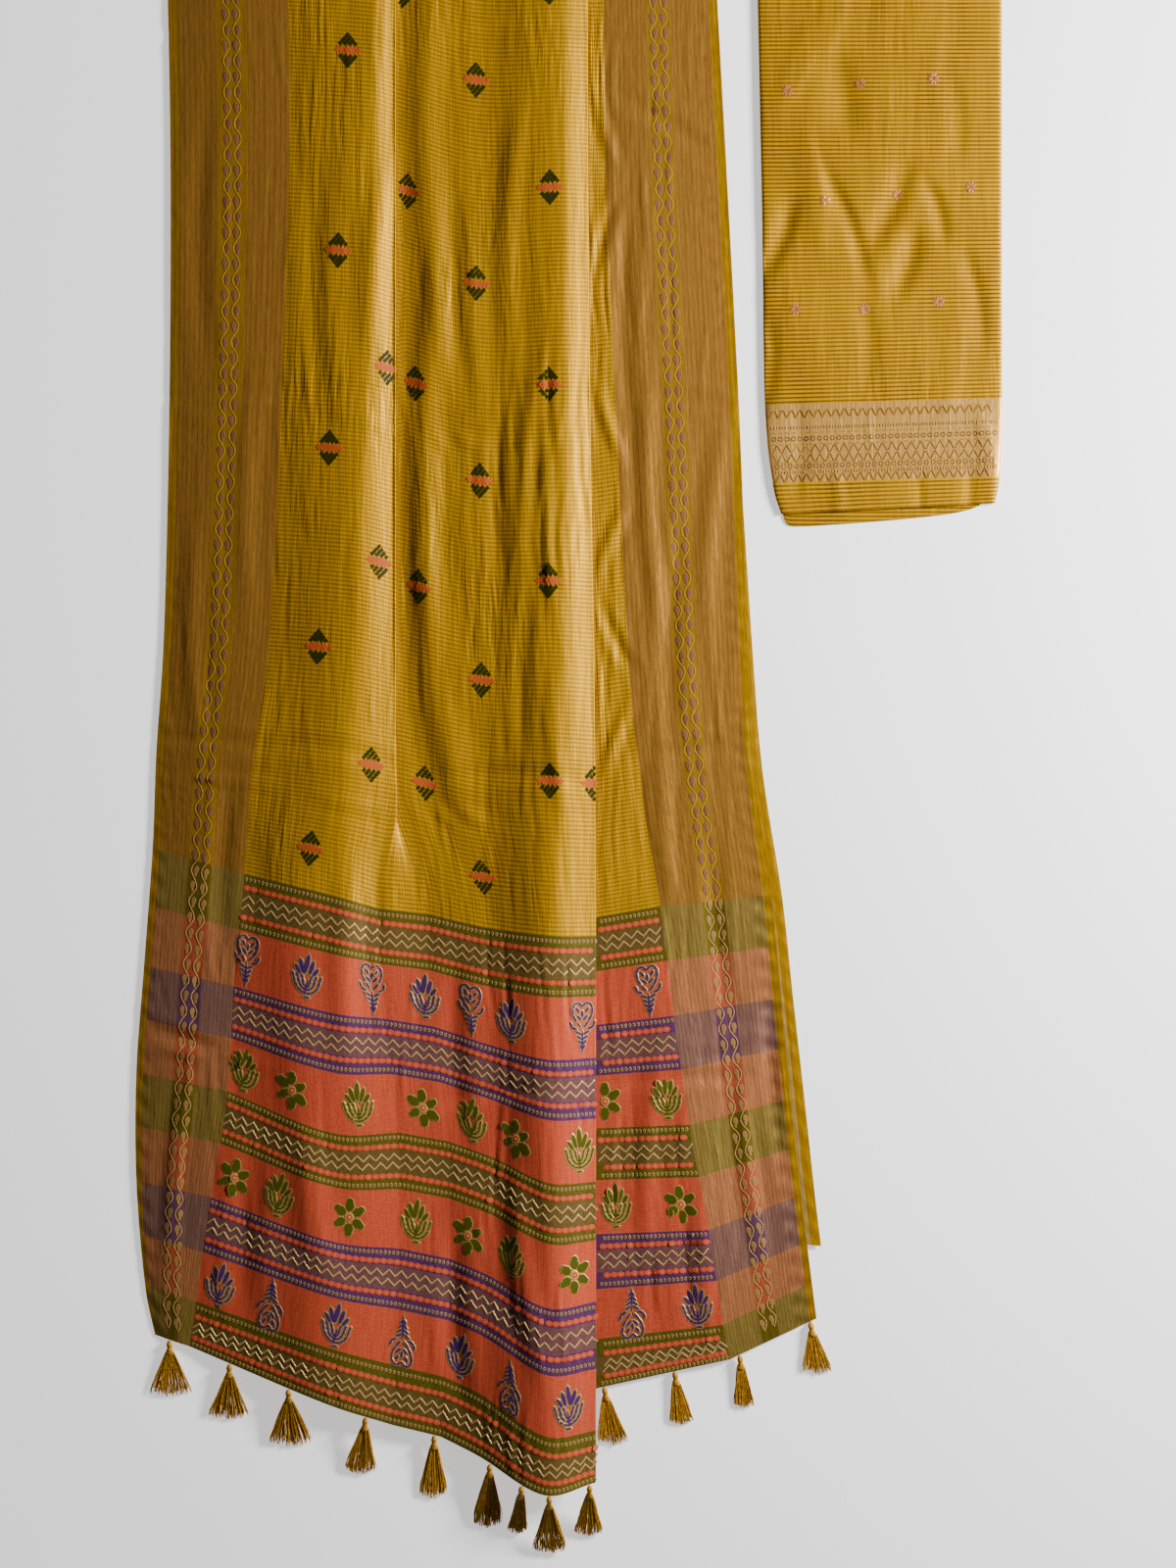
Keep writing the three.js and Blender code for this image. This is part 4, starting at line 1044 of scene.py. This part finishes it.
rounds, strokes = ([m for m in marks if is_seen(*m[:2])] for marks in (rounds, strokes))
lay_marks("pallu_band_rounds", rounds, silk_thread, "pallu_weave", sides=8, crown=0.85)
lay_marks("pallu_zigzags", strokes, zari_thread, "pallu_weave", spin=BOX, crown=0.82)

# The motifs between the bands, each woven in silk with a rim of gold round every part: a
# lotus on its cup, a hearted spire, and a six-petalled flower. Their parts are (weft, warp,
# wide, tall, turned), in millimetres from the motif's middle.
STROKE = 3.0


def stroke(points, wide=STROKE):
    """Parts that follow a line of points."""
    parts = []
    for (x0, y0), (x1, y1) in zip(points, points[1:]):
        long = math.hypot(x1 - x0, y1 - y0) + 0.8 * wide
        turn = math.atan2(y1 - y0, x1 - x0) - math.pi / 2
        parts.append(((x0 + x1) / 2, (y0 + y1) / 2, wide, long, turn))
    return parts


def cup(half, deep, top, count):
    """One of a lotus's nested bowls, its rims turned outwards."""
    turns = [math.radians(185 + 170 * k / count) for k in range(count + 1)]
    points = [(half * math.cos(a), top + deep * math.sin(a)) for a in turns]
    return stroke([(-half - 1.6, top + 3.4)] + points + [(half + 1.6, top + 3.4)])


def lotus():
    parts = cup(17.5, 21, 0, 8) + cup(11.4, 16.5, 0, 6) + cup(5.4, 12, -1, 4)
    parts += stroke([(0, -23), (0, -2)]) + stroke([(-3.4, -26), (3.4, -26)])
    for side in (-1, 1):
        parts.append((side * 11.8, 8.5, 5.2, 15, -0.62 * side))
        parts.append((side * 6.6, 13.5, 6, 21, -0.3 * side))
    return parts + [(0, 17, 7, 28, 0)]


def hearted_spire(upside_down=False):
    parts = []
    for side in (-1, 1):
        parts += stroke([(0, 27), (side * 5, 32), (side * 10.5, 31), (side * 13.6, 25),
                         (side * 12.8, 16.5), (side * 8.4, 8), (side * 2.4, 0.5)])
        parts += stroke([(side * 7.8, 25), (side * 4.6, 20)], 3.8)
        parts += stroke([(side * 7.2, 15.5), (side * 1.4, 10)], 3.2)
        parts += stroke([(side * 16.5, 8), (side * 14.2, 1), (side * 8.2, -2)], 3.2)
        for k in range(4):
            reach = 9.2 - 2 * k
            parts += stroke([(side * reach, -4.6 - 6 * k), (side * 0.8, -9 - 6 * k)], 3)
    parts += stroke([(0, 21), (0, 14)], 3.6) + stroke([(0, -2), (0, -34)], 2.8)
    if upside_down:
        parts = [(x, -y, wide, tall, -turn) for x, y, wide, tall, turn in parts]
    return parts


def flower():
    parts = []
    for k in range(6):
        a = math.radians(60 * k)
        for out, wide, tall in ((12.6, 12.4, 15), (17.6, 9.4, 9)):
            parts.append((-math.sin(a) * out, math.cos(a) * out * 1.15, wide, tall, a))
    return parts


MOTIFS = (
    # row between bands, silk, then the places of lotuses, spires and flowers across it
    (0, PURPLE_THREAD, (-339, -187, -75), (-417, -255, -127, 16.5, 102), ()),
    (1, GREEN_THREAD, (-420, -273, -126, 12.7, 125), (), (-358, -189, -69, 46)),
    (2, GREEN_THREAD, (-375, -198, -74, 60), (), (-433, -284, -131, 6.4, 144)),
    (3, PURPLE_THREAD, (-452, -301, -141, -1.3, 165), (-386, -216, -77, 81), ()),
)
LAST_ROW_SPIRES_TURNED = 3
FLOWER = 2
MOTIF_GOLD = (0.60, 0.37, 0.11, 1)

def woven_motif(row, column, parts, rim, silk_colour):
    """Its parts in silk, each on a rim of gold, which fills the gaps between close ones."""
    made = {"gold": [], "silk": []}
    for weft, warp, wide, tall, turn in parts:
        place = shifted(row, column, weft, warp)
        if is_seen(*place):
            made["gold"].append((*place, wide + rim, tall + rim, turn, MOTIF_GOLD, 0.0))
            made["silk"].append((*place, wide, tall, turn, silk_colour, 0.2))
    return made


motif_gold, motif_silk = [], []
for between, silk_colour, *places in MOTIFS:
    row = row_at(PALLU + between + BAND_SHARE + (1 - BAND_SHARE) / 2)
    kinds = ((lotus(), 3.4), (hearted_spire(between == LAST_ROW_SPIRES_TURNED), 2.6),
             (flower(), 2.2))
    for kind, ((parts, rim), across_places) in enumerate(zip(kinds, places)):
        for x in across_places:
            side = "front" if x < 35 else "right"
            column = column_at(row, x, side)
            made = woven_motif(row, column, parts, rim, silk_colour)
            motif_gold += made["gold"]
            motif_silk += made["silk"]
            if kind == FLOWER and is_seen(row, column):
                motif_gold.append((row, column, 12.5, 13, 0, GOLD_THREAD, 0.3))
                motif_silk.append((row, column, 9, 9.5, 0, CORAL_THREAD, 0.5))
                motif_silk.append((row, column, 2.6, 2.6, 0, GOLD_THREAD, 0.7))
lay_marks("pallu_motif_outlines", motif_gold, zari_thread, "pallu_weave", sides=8, crown=0.88)
lay_marks("pallu_motifs", motif_silk, silk_thread, "pallu_weave", sides=8, crown=0.8)

# The second layer's edge: the same saree's next fold, whose selvedge and gold cord show
# past the front's right side all the way down.
STRIP_FROM = -673
OCHRE = (0.52, 0.265, 0.0, 1)
PALE_GOLD = (0.60, 0.37, 0.10, 1)
STRIP_ACROSS = np.linspace(-62, 0, 25)
STRIP_SHOWS = 20  # how far it comes out past the front at the bottom

strip = []
edge = right_selvedge[right_selvedge[:, 1] > STRIP_FROM]
for i, (x, y, _) in enumerate(edge):
    y -= 12 * (1 - ramp(i, 0, 4))
    shown = STRIP_SHOWS * ramp(800 - y, 200, 1400) - 2
    fade = ramp(800 - y, 250, 700)
    high = np.interp(STRIP_ACROSS, (-62, -18, -4, 0), (4, 4, 3.9, 3.4))
    high = high + 0.5 * np.sin(2 * np.pi * y / 31 + 1.2 * math.sin(y / 53)) * np.exp(
        -((STRIP_ACROSS + 9) / 6) ** 2)
    strip.append(np.stack([x + STRIP_ACROSS + shown - 3 * (1 - fade),
                           y - STRIP_ACROSS * 0.12, high], 1))
strip = np.array(strip)
strip_uv = np.stack(np.meshgrid(STRIP_ACROSS, -run_along(strip, 0)[:, 0]), -1) * MM
strip_colours = np.zeros((len(strip) - 1, len(STRIP_ACROSS) - 1, 4))
for j, inward in enumerate(-(STRIP_ACROSS[1:] + STRIP_ACROSS[:-1]) / 2):
    strip_colours[:, j] = OCHRE if inward < 12 else PALE_GOLD if inward < 20 else ZARI
second = lay_cloth("second_layer_cloth", strip, strip_uv, strip_colours)
dress(second, "second_layer_edge", zari_weave, "zari_border", flat=(0.062, 1.66),
      held="folded", rests_on=["under_layers"])

# The rest of the saree, folded under its front: one soft stack with its plies rounded at
# the sides, flat where it rests, and pressed so that the front's creases stay clear of it.
UNDER_PRESSED = 0.92
ROUNDED = 2  # times the stack's turns are rounded off


def stack_of_plies(solid, name, pressed):
    """The form of a folded stack, its turns rounded off and its height pressed down."""
    mesh = bpy.data.objects[solid].data.copy()
    mesh.name = name
    mesh.materials.clear()
    shape = bmesh.new()
    shape.from_mesh(mesh)
    bmesh.ops.remove_doubles(shape, verts=shape.verts, dist=1e-5)
    bmesh.ops.join_triangles(shape, faces=shape.faces, angle_face_threshold=0.3,
                             angle_shape_threshold=0.7)
    weave = shape.loops.layers.uv.new("weave")
    for face in shape.faces:
        face.smooth = True
        for corner in face.loops:
            p = corner.vert.co
            corner[weave].uv = (p.x + p.z, p.y + p.z)
    shape.to_mesh(mesh)
    shape.free()
    for vertex in mesh.vertices:
        vertex.co.z *= pressed
    piece = placed(name, mesh)
    rounding = piece.modifiers.new("rounding", "SUBSURF")
    rounding.levels = rounding.render_levels = ROUNDED
    return piece
under = stack_of_plies("under_layers", "under_layers_cloth", UNDER_PRESSED)
dress(under, "under_layers", gold_tissue, "gold_tissue")

# The blouse piece: a length of the same tissue cut for the blouse, folded in four, with
# its own woven border near one end and small rosettes over the rest.
BLOUSE = {
    # line: left, right, y at the left, y at the right
    "top": (241, 560, 1060, 1060), "upper": (249, 560, 680, 682), "border": (253, 560, 420, 429),
    "band": (263, 557, 319, 328), "end": (274, 551, 279, 293),
}
BLOUSE_STACK = 7.2
BAND_DROP = 0.8  # how much lower it lies at the end of its band
BLOUSE_LIT = (0.48, 0.24, 0.0, 1)
BLOUSE_PICK = (0.10, 0.036, 0.0, 1)
BLOUSE_ZARI = (0.72, 0.39, 0.09, 1)
ROSE_GOLD = (0.60, 0.24, 0.09, 1)
# How the folded sides roll over: how far in, and the share of the height there.
ROLL = ((0.6, 0.16), (0.4, 0.5), (1.4, 0.82), (5, 0.96), (16, 1))
ROLL_WIDE, ROLL_CELLS, BLOUSE_CELLS = 16, 10, 56
BLOUSE_ROWS = {"top": 96, "upper": 64, "border": 32, "band": 16}


def blouse_row(line, drop):
    left, right, left_y, right_y = between_rows(BLOUSE.values(), line)[:, 0]
    inward, high = between_rows(ROLL, np.linspace(0, len(ROLL) - 1, ROLL_CELLS + 1))
    flat = np.linspace(left + ROLL_WIDE, right - ROLL_WIDE, BLOUSE_CELLS + 1)
    x = np.concatenate([left + inward, flat[1:-1], (right - inward)[::-1]])
    share = np.concatenate([high, np.ones(BLOUSE_CELLS - 1), high[::-1]])
    y = left_y + (right_y - left_y) * (x - left) / (right - left)
    return np.stack([x, y, np.maximum(REST, (BLOUSE_STACK - drop) * share)], 1)


blouse_lines = []
for part, rows in enumerate(BLOUSE_ROWS.values()):
    blouse_lines += [part + i / rows for i in range(rows)]
blouse_lines.append(4.0)
blouse = [blouse_row(line, BAND_DROP * max(0.0, line - 3)) for line in blouse_lines]
blouse_turned = turned_over(blouse[0], (82, 64, 46, 28, 12))
blouse = np.array(blouse_turned + blouse)
blouse_lines = np.concatenate([np.linspace(-0.03, -0.01, len(blouse_turned)), blouse_lines])

# Soft dimples in the blouse piece, where it was folded and handled: some open like a V.
DIMPLES = (
    # x, y, turned, long, wide, deep
    (276, 636, 69, 96, 9, -2.4), (367, 650, -69.7, 150, 7, -1.6), (419, 676, 66.7, 112, 11, -2.2),
    (479, 672, -73.8, 74, 7, -1.6), (440, 603, 73, 84, 11, -2.2), (357, 822, -83, 92, 14, -1.8),
    (300, 860, 70, 90, 9, 1.4), (262, 470, 86, 120, 8, -1.4), (345, 930, 80, 100, 10, 1.2),
    (505, 790, 92, 100, 8, -1.0), (530, 560, -80, 120, 7, -1.2), (322, 700, 98, 130, 8, 1.2),
    (470, 930, 92, 140, 14, 1.4), (400, 1000, 88, 120, 12, -1.2), (500, 480, 86, 130, 10, 1.0),
    (390, 500, 94, 120, 9, -1.0), (545, 350, 96, 110, 6, 1.1), (300, 360, 88, 120, 8, -0.9),
    (455, 300, 90, 60, 5, -0.8), (350, 300, 92, 60, 5, 0.8), (520, 305, 88, 60, 5, -0.9),
)


def dimple(grid, middle, degrees, long, wide, deep):
    """A hollow with one steep side, on the right, and a gentle one."""
    run, off = turned_about(grid, middle, degrees)
    off = -off * np.sign(math.sin(math.radians(degrees)))
    off = off + 0.08 * run * np.sin(run / (0.3 * long))
    spread = np.where(off > 0, 1.1 * wide, 1.7 * wide)
    return 1.8 * deep * np.exp(-(run / (0.55 * long)) ** 4) * np.exp(-(off / spread) ** 2)


SMALL_CRINKLES = 110
dents = np.zeros(blouse.shape[:2])
for x, y, *form in DIMPLES:
    dents += dimple(blouse, (x, y), *form)
for _ in range(SMALL_CRINKLES):
    place = (rng.uniform(250, 555), rng.uniform(290, 1050))
    dents += crease(blouse, place, 90 + rng.normal(0, 6), rng.uniform(20, 60),
                    rng.uniform(2.4, 4), 0.4 * rng.uniform(-1, 1))
dents[:len(blouse_turned)] = 0
dents[:, :ROLL_CELLS // 2] = 0
dents[:, -ROLL_CELLS // 2:] = 0
DEEPEST, HIGHEST = -4.2, 1.2
blouse = blouse + facing(blouse) * np.clip(dents, DEEPEST, HIGHEST)[..., None]
MIDDLE_COLUMN, MIDDLE_ROW = 34, 60
blouse_run = run_along(blouse, 0)[:, MIDDLE_COLUMN]
blouse_wide = run_along(blouse, 1)[MIDDLE_ROW]
blouse_tissue = tissue("blouse_tissue", BLOUSE_LIT, BLOUSE_PICK, 1.15, 0.35)
BLOUSE_FLAT = {"blouse_field": (0.33, 0.64), "blouse_border": (0.32, 0.101),
               "blouse_band": (0.29, 0.041)}
cuts = [0] + [int(np.argmin(np.abs(blouse_lines - v))) for v in (2, 3, 4)]
for k, (name, flat) in enumerate(BLOUSE_FLAT.items()):
    i = slice(cuts[k], cuts[k + 1] + 1)
    uv = np.stack(np.meshgrid(blouse_wide, -blouse_run[i]), -1) * MM
    count = (cuts[k + 1] - cuts[k], len(blouse_wide) - 1, 1)
    piece = lay_cloth(name + "_cloth", blouse[i], uv, np.tile(BLOUSE_ZARI, count))
    weave, slot = ((zari_weave, "blouse_zari") if name == "blouse_border"
                   else (blouse_tissue, "blouse_tissue"))
    dress(piece, name, weave, slot, flat=flat, held="folded", rests_on=["blouse_inner_folds"])


def blouse_marks(name, marks, material, slot, **shape):
    """marks: (x, y, wide, tall, turn, colour, lift) over the blouse piece, seen from above."""
    out = facing(blouse)
    place, normal = [], []
    down = blouse[:, MIDDLE_COLUMN]
    for x, y, *_ in marks:
        row = int(np.argmin(np.abs(down[:, 1] + (x - down[:, 0]) * 0.02 - y)))
        column = int(np.argmin(np.abs(blouse[row, :, 0] - x)))
        first = max(0, row - 3)
        gap = np.linalg.norm(blouse[first:row + 4, column, :2] - (x, y), axis=1)
        row = first + int(np.argmin(gap))
        place.append((x, y, blouse[row, column, 2]))
        normal.append(out[row, column])
    normal = np.array(normal)
    weft = np.cross(np.array([0.0, 1.0, 0.0]), normal)
    weft /= np.linalg.norm(weft, axis=1, keepdims=True)
    return marks_at(name, np.array(place), weft, normal, marks, material, slot, **shape)


ROSETTES = ((282, 827), (376, 836), (471, 843), (331, 685), (425, 692), (519, 702), (292, 544),
            (382, 544), (478, 554), (331, 970), (425, 977), (519, 985))
PETALS, ROSE_REACH = 8, 4.6
rosettes = []
for x, y in ROSETTES:
    for k in range(PETALS):
        a = math.radians(45 * k + 22)
        petal = (x - ROSE_REACH * math.sin(a), y + ROSE_REACH * math.cos(a))
        rosettes.append((*petal, 3.4, 6.2, a, ROSE_GOLD, 0.05))
blouse_marks("blouse_rosettes", rosettes, zari_thread, "blouse_tissue", sides=8, crown=0.5)

# The blouse border's weave: temple points at both sides, rows of dots and small rings,
# and a row of tall lozenges between yellow lines.
border_marks = []
BORDER_LANES = (
    # kind, place down the border from 0 to 1, pitch
    ("points", 0.075, 11.5), ("dots", 0.195, 3.6), ("line", 0.245, 9.0), ("rings", 0.31, 8.4),
    ("line", 0.375, 9.0), ("lozenges", 0.50, 12.4), ("line", 0.64, 9.0), ("rings", 0.70, 8.4),
    ("line", 0.765, 9.0), ("dots", 0.815, 3.6), ("points", 0.925, 11.5),
)
LINE_GOLD = (0.60, 0.36, 0.02, 1)
COPPER = (0.26, 0.105, 0.03, 1)
THIN, POINT_LEAN, LOZENGE_LEAN, RING = 1.9, 0.42, 0.48, 2.4
for kind, share, pitch in BORDER_LANES:
    left, right, left_y, right_y = between_rows(BLOUSE.values(), 2 + share)[:, 0]
    tilt = math.atan2(right_y - left_y, right - left)
    for k in range(int((right - left - 8) / pitch)):
        x = left + 5 + (k + 0.5) * pitch
        y = left_y + (right_y - left_y) * (x - left) / (right - left)
        if kind == "points":
            for s in (-1, 1):
                lean = tilt + s * POINT_LEAN
                border_marks.append((x + s * pitch / 4, y, THIN, 16, lean, COPPER, 0))
                border_marks.append((x + s * (pitch / 4 + 1.2), y, 1.2, 15, lean,
                                     LINE_GOLD, 0.05))
        elif kind == "dots":
            border_marks.append((x, y, THIN, 5.4, tilt, COPPER, 0))
        elif kind == "line":
            border_marks.append((x, y, 9.6, 1.8, tilt, YELLOW_THREAD, 0))
        elif kind == "rings":
            for q in range(4):
                a = math.radians(90 * q + 45)
                border_marks.append((x + RING * math.cos(a), y + RING * math.sin(a), 2.0, 5.2,
                                     a, COPPER, 0))
        else:
            for s, t in ((-1, -1), (-1, 1), (1, -1), (1, 1)):
                border_marks.append((x + s * pitch / 4, y + t * 6, THIN, 16.5,
                                     tilt + s * t * LOZENGE_LEAN, COPPER, 0.02 * s))
blouse_marks("blouse_border_weave", border_marks, zari_thread, "blouse_zari", spin=BOX, crown=0.6)

# The blouse piece's inner folds, which show at its lower end and round its sides. They are
# pressed flatter than the outer ply, so its hollows stay clear of them.
INNER_PRESSED = 0.6
inner = stack_of_plies("blouse_inner_folds", "blouse_inner_cloth", INNER_PRESSED)
dress(inner, "blouse_inner_folds", blouse_tissue, "blouse_tissue")

# The tassels: skeins of silk yarn knotted to the warp ends along the hem, each wound into a
# small head and left to fan out below it.
TASSELS = (
    # name, x, long, lean, wide
    ("tassel_01", -518, 68, 2, 54), ("tassel_02", -440, 68, -2, 51),
    ("tassel_03", -363, 71, 2, 55), ("tassel_04", -264, 71, -8, 40),
    ("tassel_05", -175, 78, -2, 34), ("tassel_06", -103, 81, -4, 36),
    ("tassel_07", -62, 62, -6, 26), ("tassel_08", -26, 76, 0, 41), ("tassel_09", 26, 65, -2, 38),
    ("tassel_10", 46, 70, 11, 38), ("tassel_11", 137, 64, 9, 32), ("tassel_12", 221, 64, 6, 26),
    ("tassel_13", 313, 62, 9, 41),
)
# Painted light and shade: the tassel silk's colour is a lit and a shaded copy of one gold, mixed
# in noise over the yarns and heads.
TASSEL_LIT = (0.66, 0.33, 0.015, 1)
TASSEL_SHADED = (0.21, 0.08, 0.0, 1)
YARNS = 135
YARN_STEPS = 11
YARN_RADIUS = 0.42 * MM
YARN_SIDES = 4
KNOT_TOP, KNOT_HIGH, SKIRT_END_HIGH = 6, 5.0, 2.4
# The wound head: its way up from the knot, its half width and its half height.
HEAD = ((6, 1.6, 1.4), (3.5, 3, 2.8), (0, 3.8, 3.6), (-3.5, 3, 2.8), (-6, 4.2, 3.1),
        (-8.4, 5.2, 3.3), (-11, 5.8, 3.2), (-13, 5.0, 2.2))
SKIRT = 10
SKIRT_FROM = 9.6
HEAD_SIDES, HEAD_RINGS = 18, 40

tassel_yarns, given, YARN_INPUTS = new_tree("tassel_yarns", {
    "Paths": "Geometry", "Radius": "Float", "Sides": "Int", "Yarn": "Material"})
curves = node(tassel_yarns, "GeometryNodeMeshToCurve", {"Mesh": given["Paths"]})
tapered = node(tassel_yarns, "GeometryNodeSetCurveRadius", {
    "Curve": curves.outputs[0], "Radius": named(tassel_yarns, "thin", "FLOAT")})
section = node(tassel_yarns, "GeometryNodeCurvePrimitiveCircle", {
    "Resolution": given["Sides"], "Radius": given["Radius"]})
tubes = node(tassel_yarns, "GeometryNodeCurveToMesh", {
    "Curve": tapered.outputs[0], "Profile Curve": section.outputs[0], "Fill Caps": True})
end_tree(tassel_yarns, tubes.outputs[0], given["Yarn"])

tassel_silk, tree, shader = finish("tassel_silk", {"Roughness": 0.5,
                                                   "Specular IOR Level": 0.2})
place = node(tree, "ShaderNodeTexCoord").outputs["Object"]
broad = node(tree, "ShaderNodeTexNoise", {"Vector": place, "Scale": 260.0,
                                          "Detail": 2.0}).outputs[0]
strand = node(tree, "ShaderNodeVectorMath", {0: place, 1: (1500, 160, 1500)},
              operation="MULTIPLY")
fibre = node(tree, "ShaderNodeTexNoise", {"Vector": strand.outputs[0],
                                          "Scale": 1.0}).outputs[0]
# painted light and shade: the lit and shaded copies of the gold, mixed in noise
share = maths(tree, "MULTIPLY_ADD", maths(tree, "ADD", broad, fibre), 1.3, -0.8, clamp=True)
tree.links.new(blend(tree, share, TASSEL_SHADED, TASSEL_LIT), shader.inputs["Base Color"])
bump(tree, shader, fibre, 0.0004, 0.8)

hem = front[-1]
for t, (name, x, long, lean, wide) in enumerate(TASSELS):
    y, z = 1e9, 0.0
    for low, high in ((0, starts[4]), (starts[5], starts[7])):
        run = hem[low:high + 1]
        steps = np.linspace(0, len(run) - 1, 20 * len(run))
        run = np.stack([np.interp(steps, np.arange(len(run)), run[:, k]) for k in range(3)], 1)
        near = run[np.abs(run[:, 0] - x) < 2]
        if len(near) and near[:, 1].min() < y:
            y, z = near[:, 1].min(), near[np.argmin(near[:, 1]), 2]
    y -= KNOT_TOP + 0.3
    centre = max(z, KNOT_HIGH)

    def fall(along):
        """Height of the tassel's middle a way below its knot."""
        drop = np.clip(along / long, 0, 1)
        return np.where(along < 0, centre + (z - centre) * -along / KNOT_TOP,
                        centre + (SKIRT_END_HIGH - centre) * drop ** 0.8)

    rings = np.linspace(0, len(HEAD) - 1, HEAD_RINGS)
    along, broad_by, high_by = between_rows(HEAD, rings)
    wound = 0.32 * np.abs(np.sin(along * 2.6)) * (along > -7)
    around = 2 * np.pi * np.arange(HEAD_SIDES) / HEAD_SIDES
    middle = np.maximum(fall(-along), high_by + 0.4)
    ribs = 1 + 0.07 * np.sin(around * 9)[None, :] * (along < -6)[:, None]
    points = np.stack([
        x + (lean * -along / long)[:, None] + (broad_by + wound)[:, None] * np.cos(around) * ribs,
        np.repeat((y + along)[:, None], HEAD_SIDES, 1),
        middle[:, None] + (high_by + wound)[:, None] * np.sin(around) * ribs], -1)
    points = points.reshape(-1, 3)
    faces = []
    for r in range(HEAD_RINGS - 1):
        for s in range(HEAD_SIDES):
            a, b = r * HEAD_SIDES + s, r * HEAD_SIDES + (s + 1) % HEAD_SIDES
            faces.append((a, b, b + HEAD_SIDES, a + HEAD_SIDES))
    last = (HEAD_RINGS - 1) * HEAD_SIDES
    faces.append(tuple(range(HEAD_SIDES))[::-1])
    faces.append(tuple(last + s for s in range(HEAD_SIDES)))

    spread = np.random.default_rng(300 + t)
    paths, edges, thin = [], [], []
    for s in range(YARNS):
        across = (s + 0.5) / YARNS - 0.5
        tier = spread.uniform(-1, 1)
        end = long * (1 - 0.16 * abs(across)) * spread.uniform(0.86, 1.0)
        sway, phase = spread.uniform(0.3, 1.5), spread.uniform(0, 6.3)
        for k in range(YARN_STEPS):
            go = k / (YARN_STEPS - 1)
            down = SKIRT_FROM + (end - SKIRT_FROM) * go
            fan = across * (SKIRT + (wide - SKIRT) * min(1, (down - 8) / 50))
            side = sway * math.sin(phase + 5 * go) * go
            height = max(float(fall(down)) + tier * 2.0 * (1 - 0.35 * go),
                         0.7 + 1.8 * (tier + 1) * 0.5)
            paths.append((x + fan + lean * down / long + side, y - down, height))
            thin.append(1.0 - 0.35 * go)
            if k:
                edges.append((len(paths) - 2, len(paths) - 1))
    mesh = bpy.data.meshes.new(name + "_paths")
    mesh.from_pydata((np.array(paths) * MM + ORIGIN).tolist(), edges, [])
    mesh.attributes.new("thin", "FLOAT", "POINT").data.foreach_set("value", thin)
    yarns = grown(mesh, tassel_yarns, YARN_INPUTS, {
        "Radius": YARN_RADIUS, "Sides": YARN_SIDES, "Yarn": tassel_silk})
    shape = bmesh.new()
    shape.from_mesh(yarns)
    corners = [shape.verts.new(p) for p in (points * MM + ORIGIN).tolist()]
    for face in faces:
        made = shape.faces.new([corners[i] for i in face])
        made.smooth = True
    bmesh.ops.recalc_face_normals(shape, faces=shape.faces)
    whole = bpy.data.meshes.new(name + "_silk")
    shape.to_mesh(whole)
    shape.free()
    dress(placed(name + "_silk", whole), name, tassel_silk, "tassel_silk")
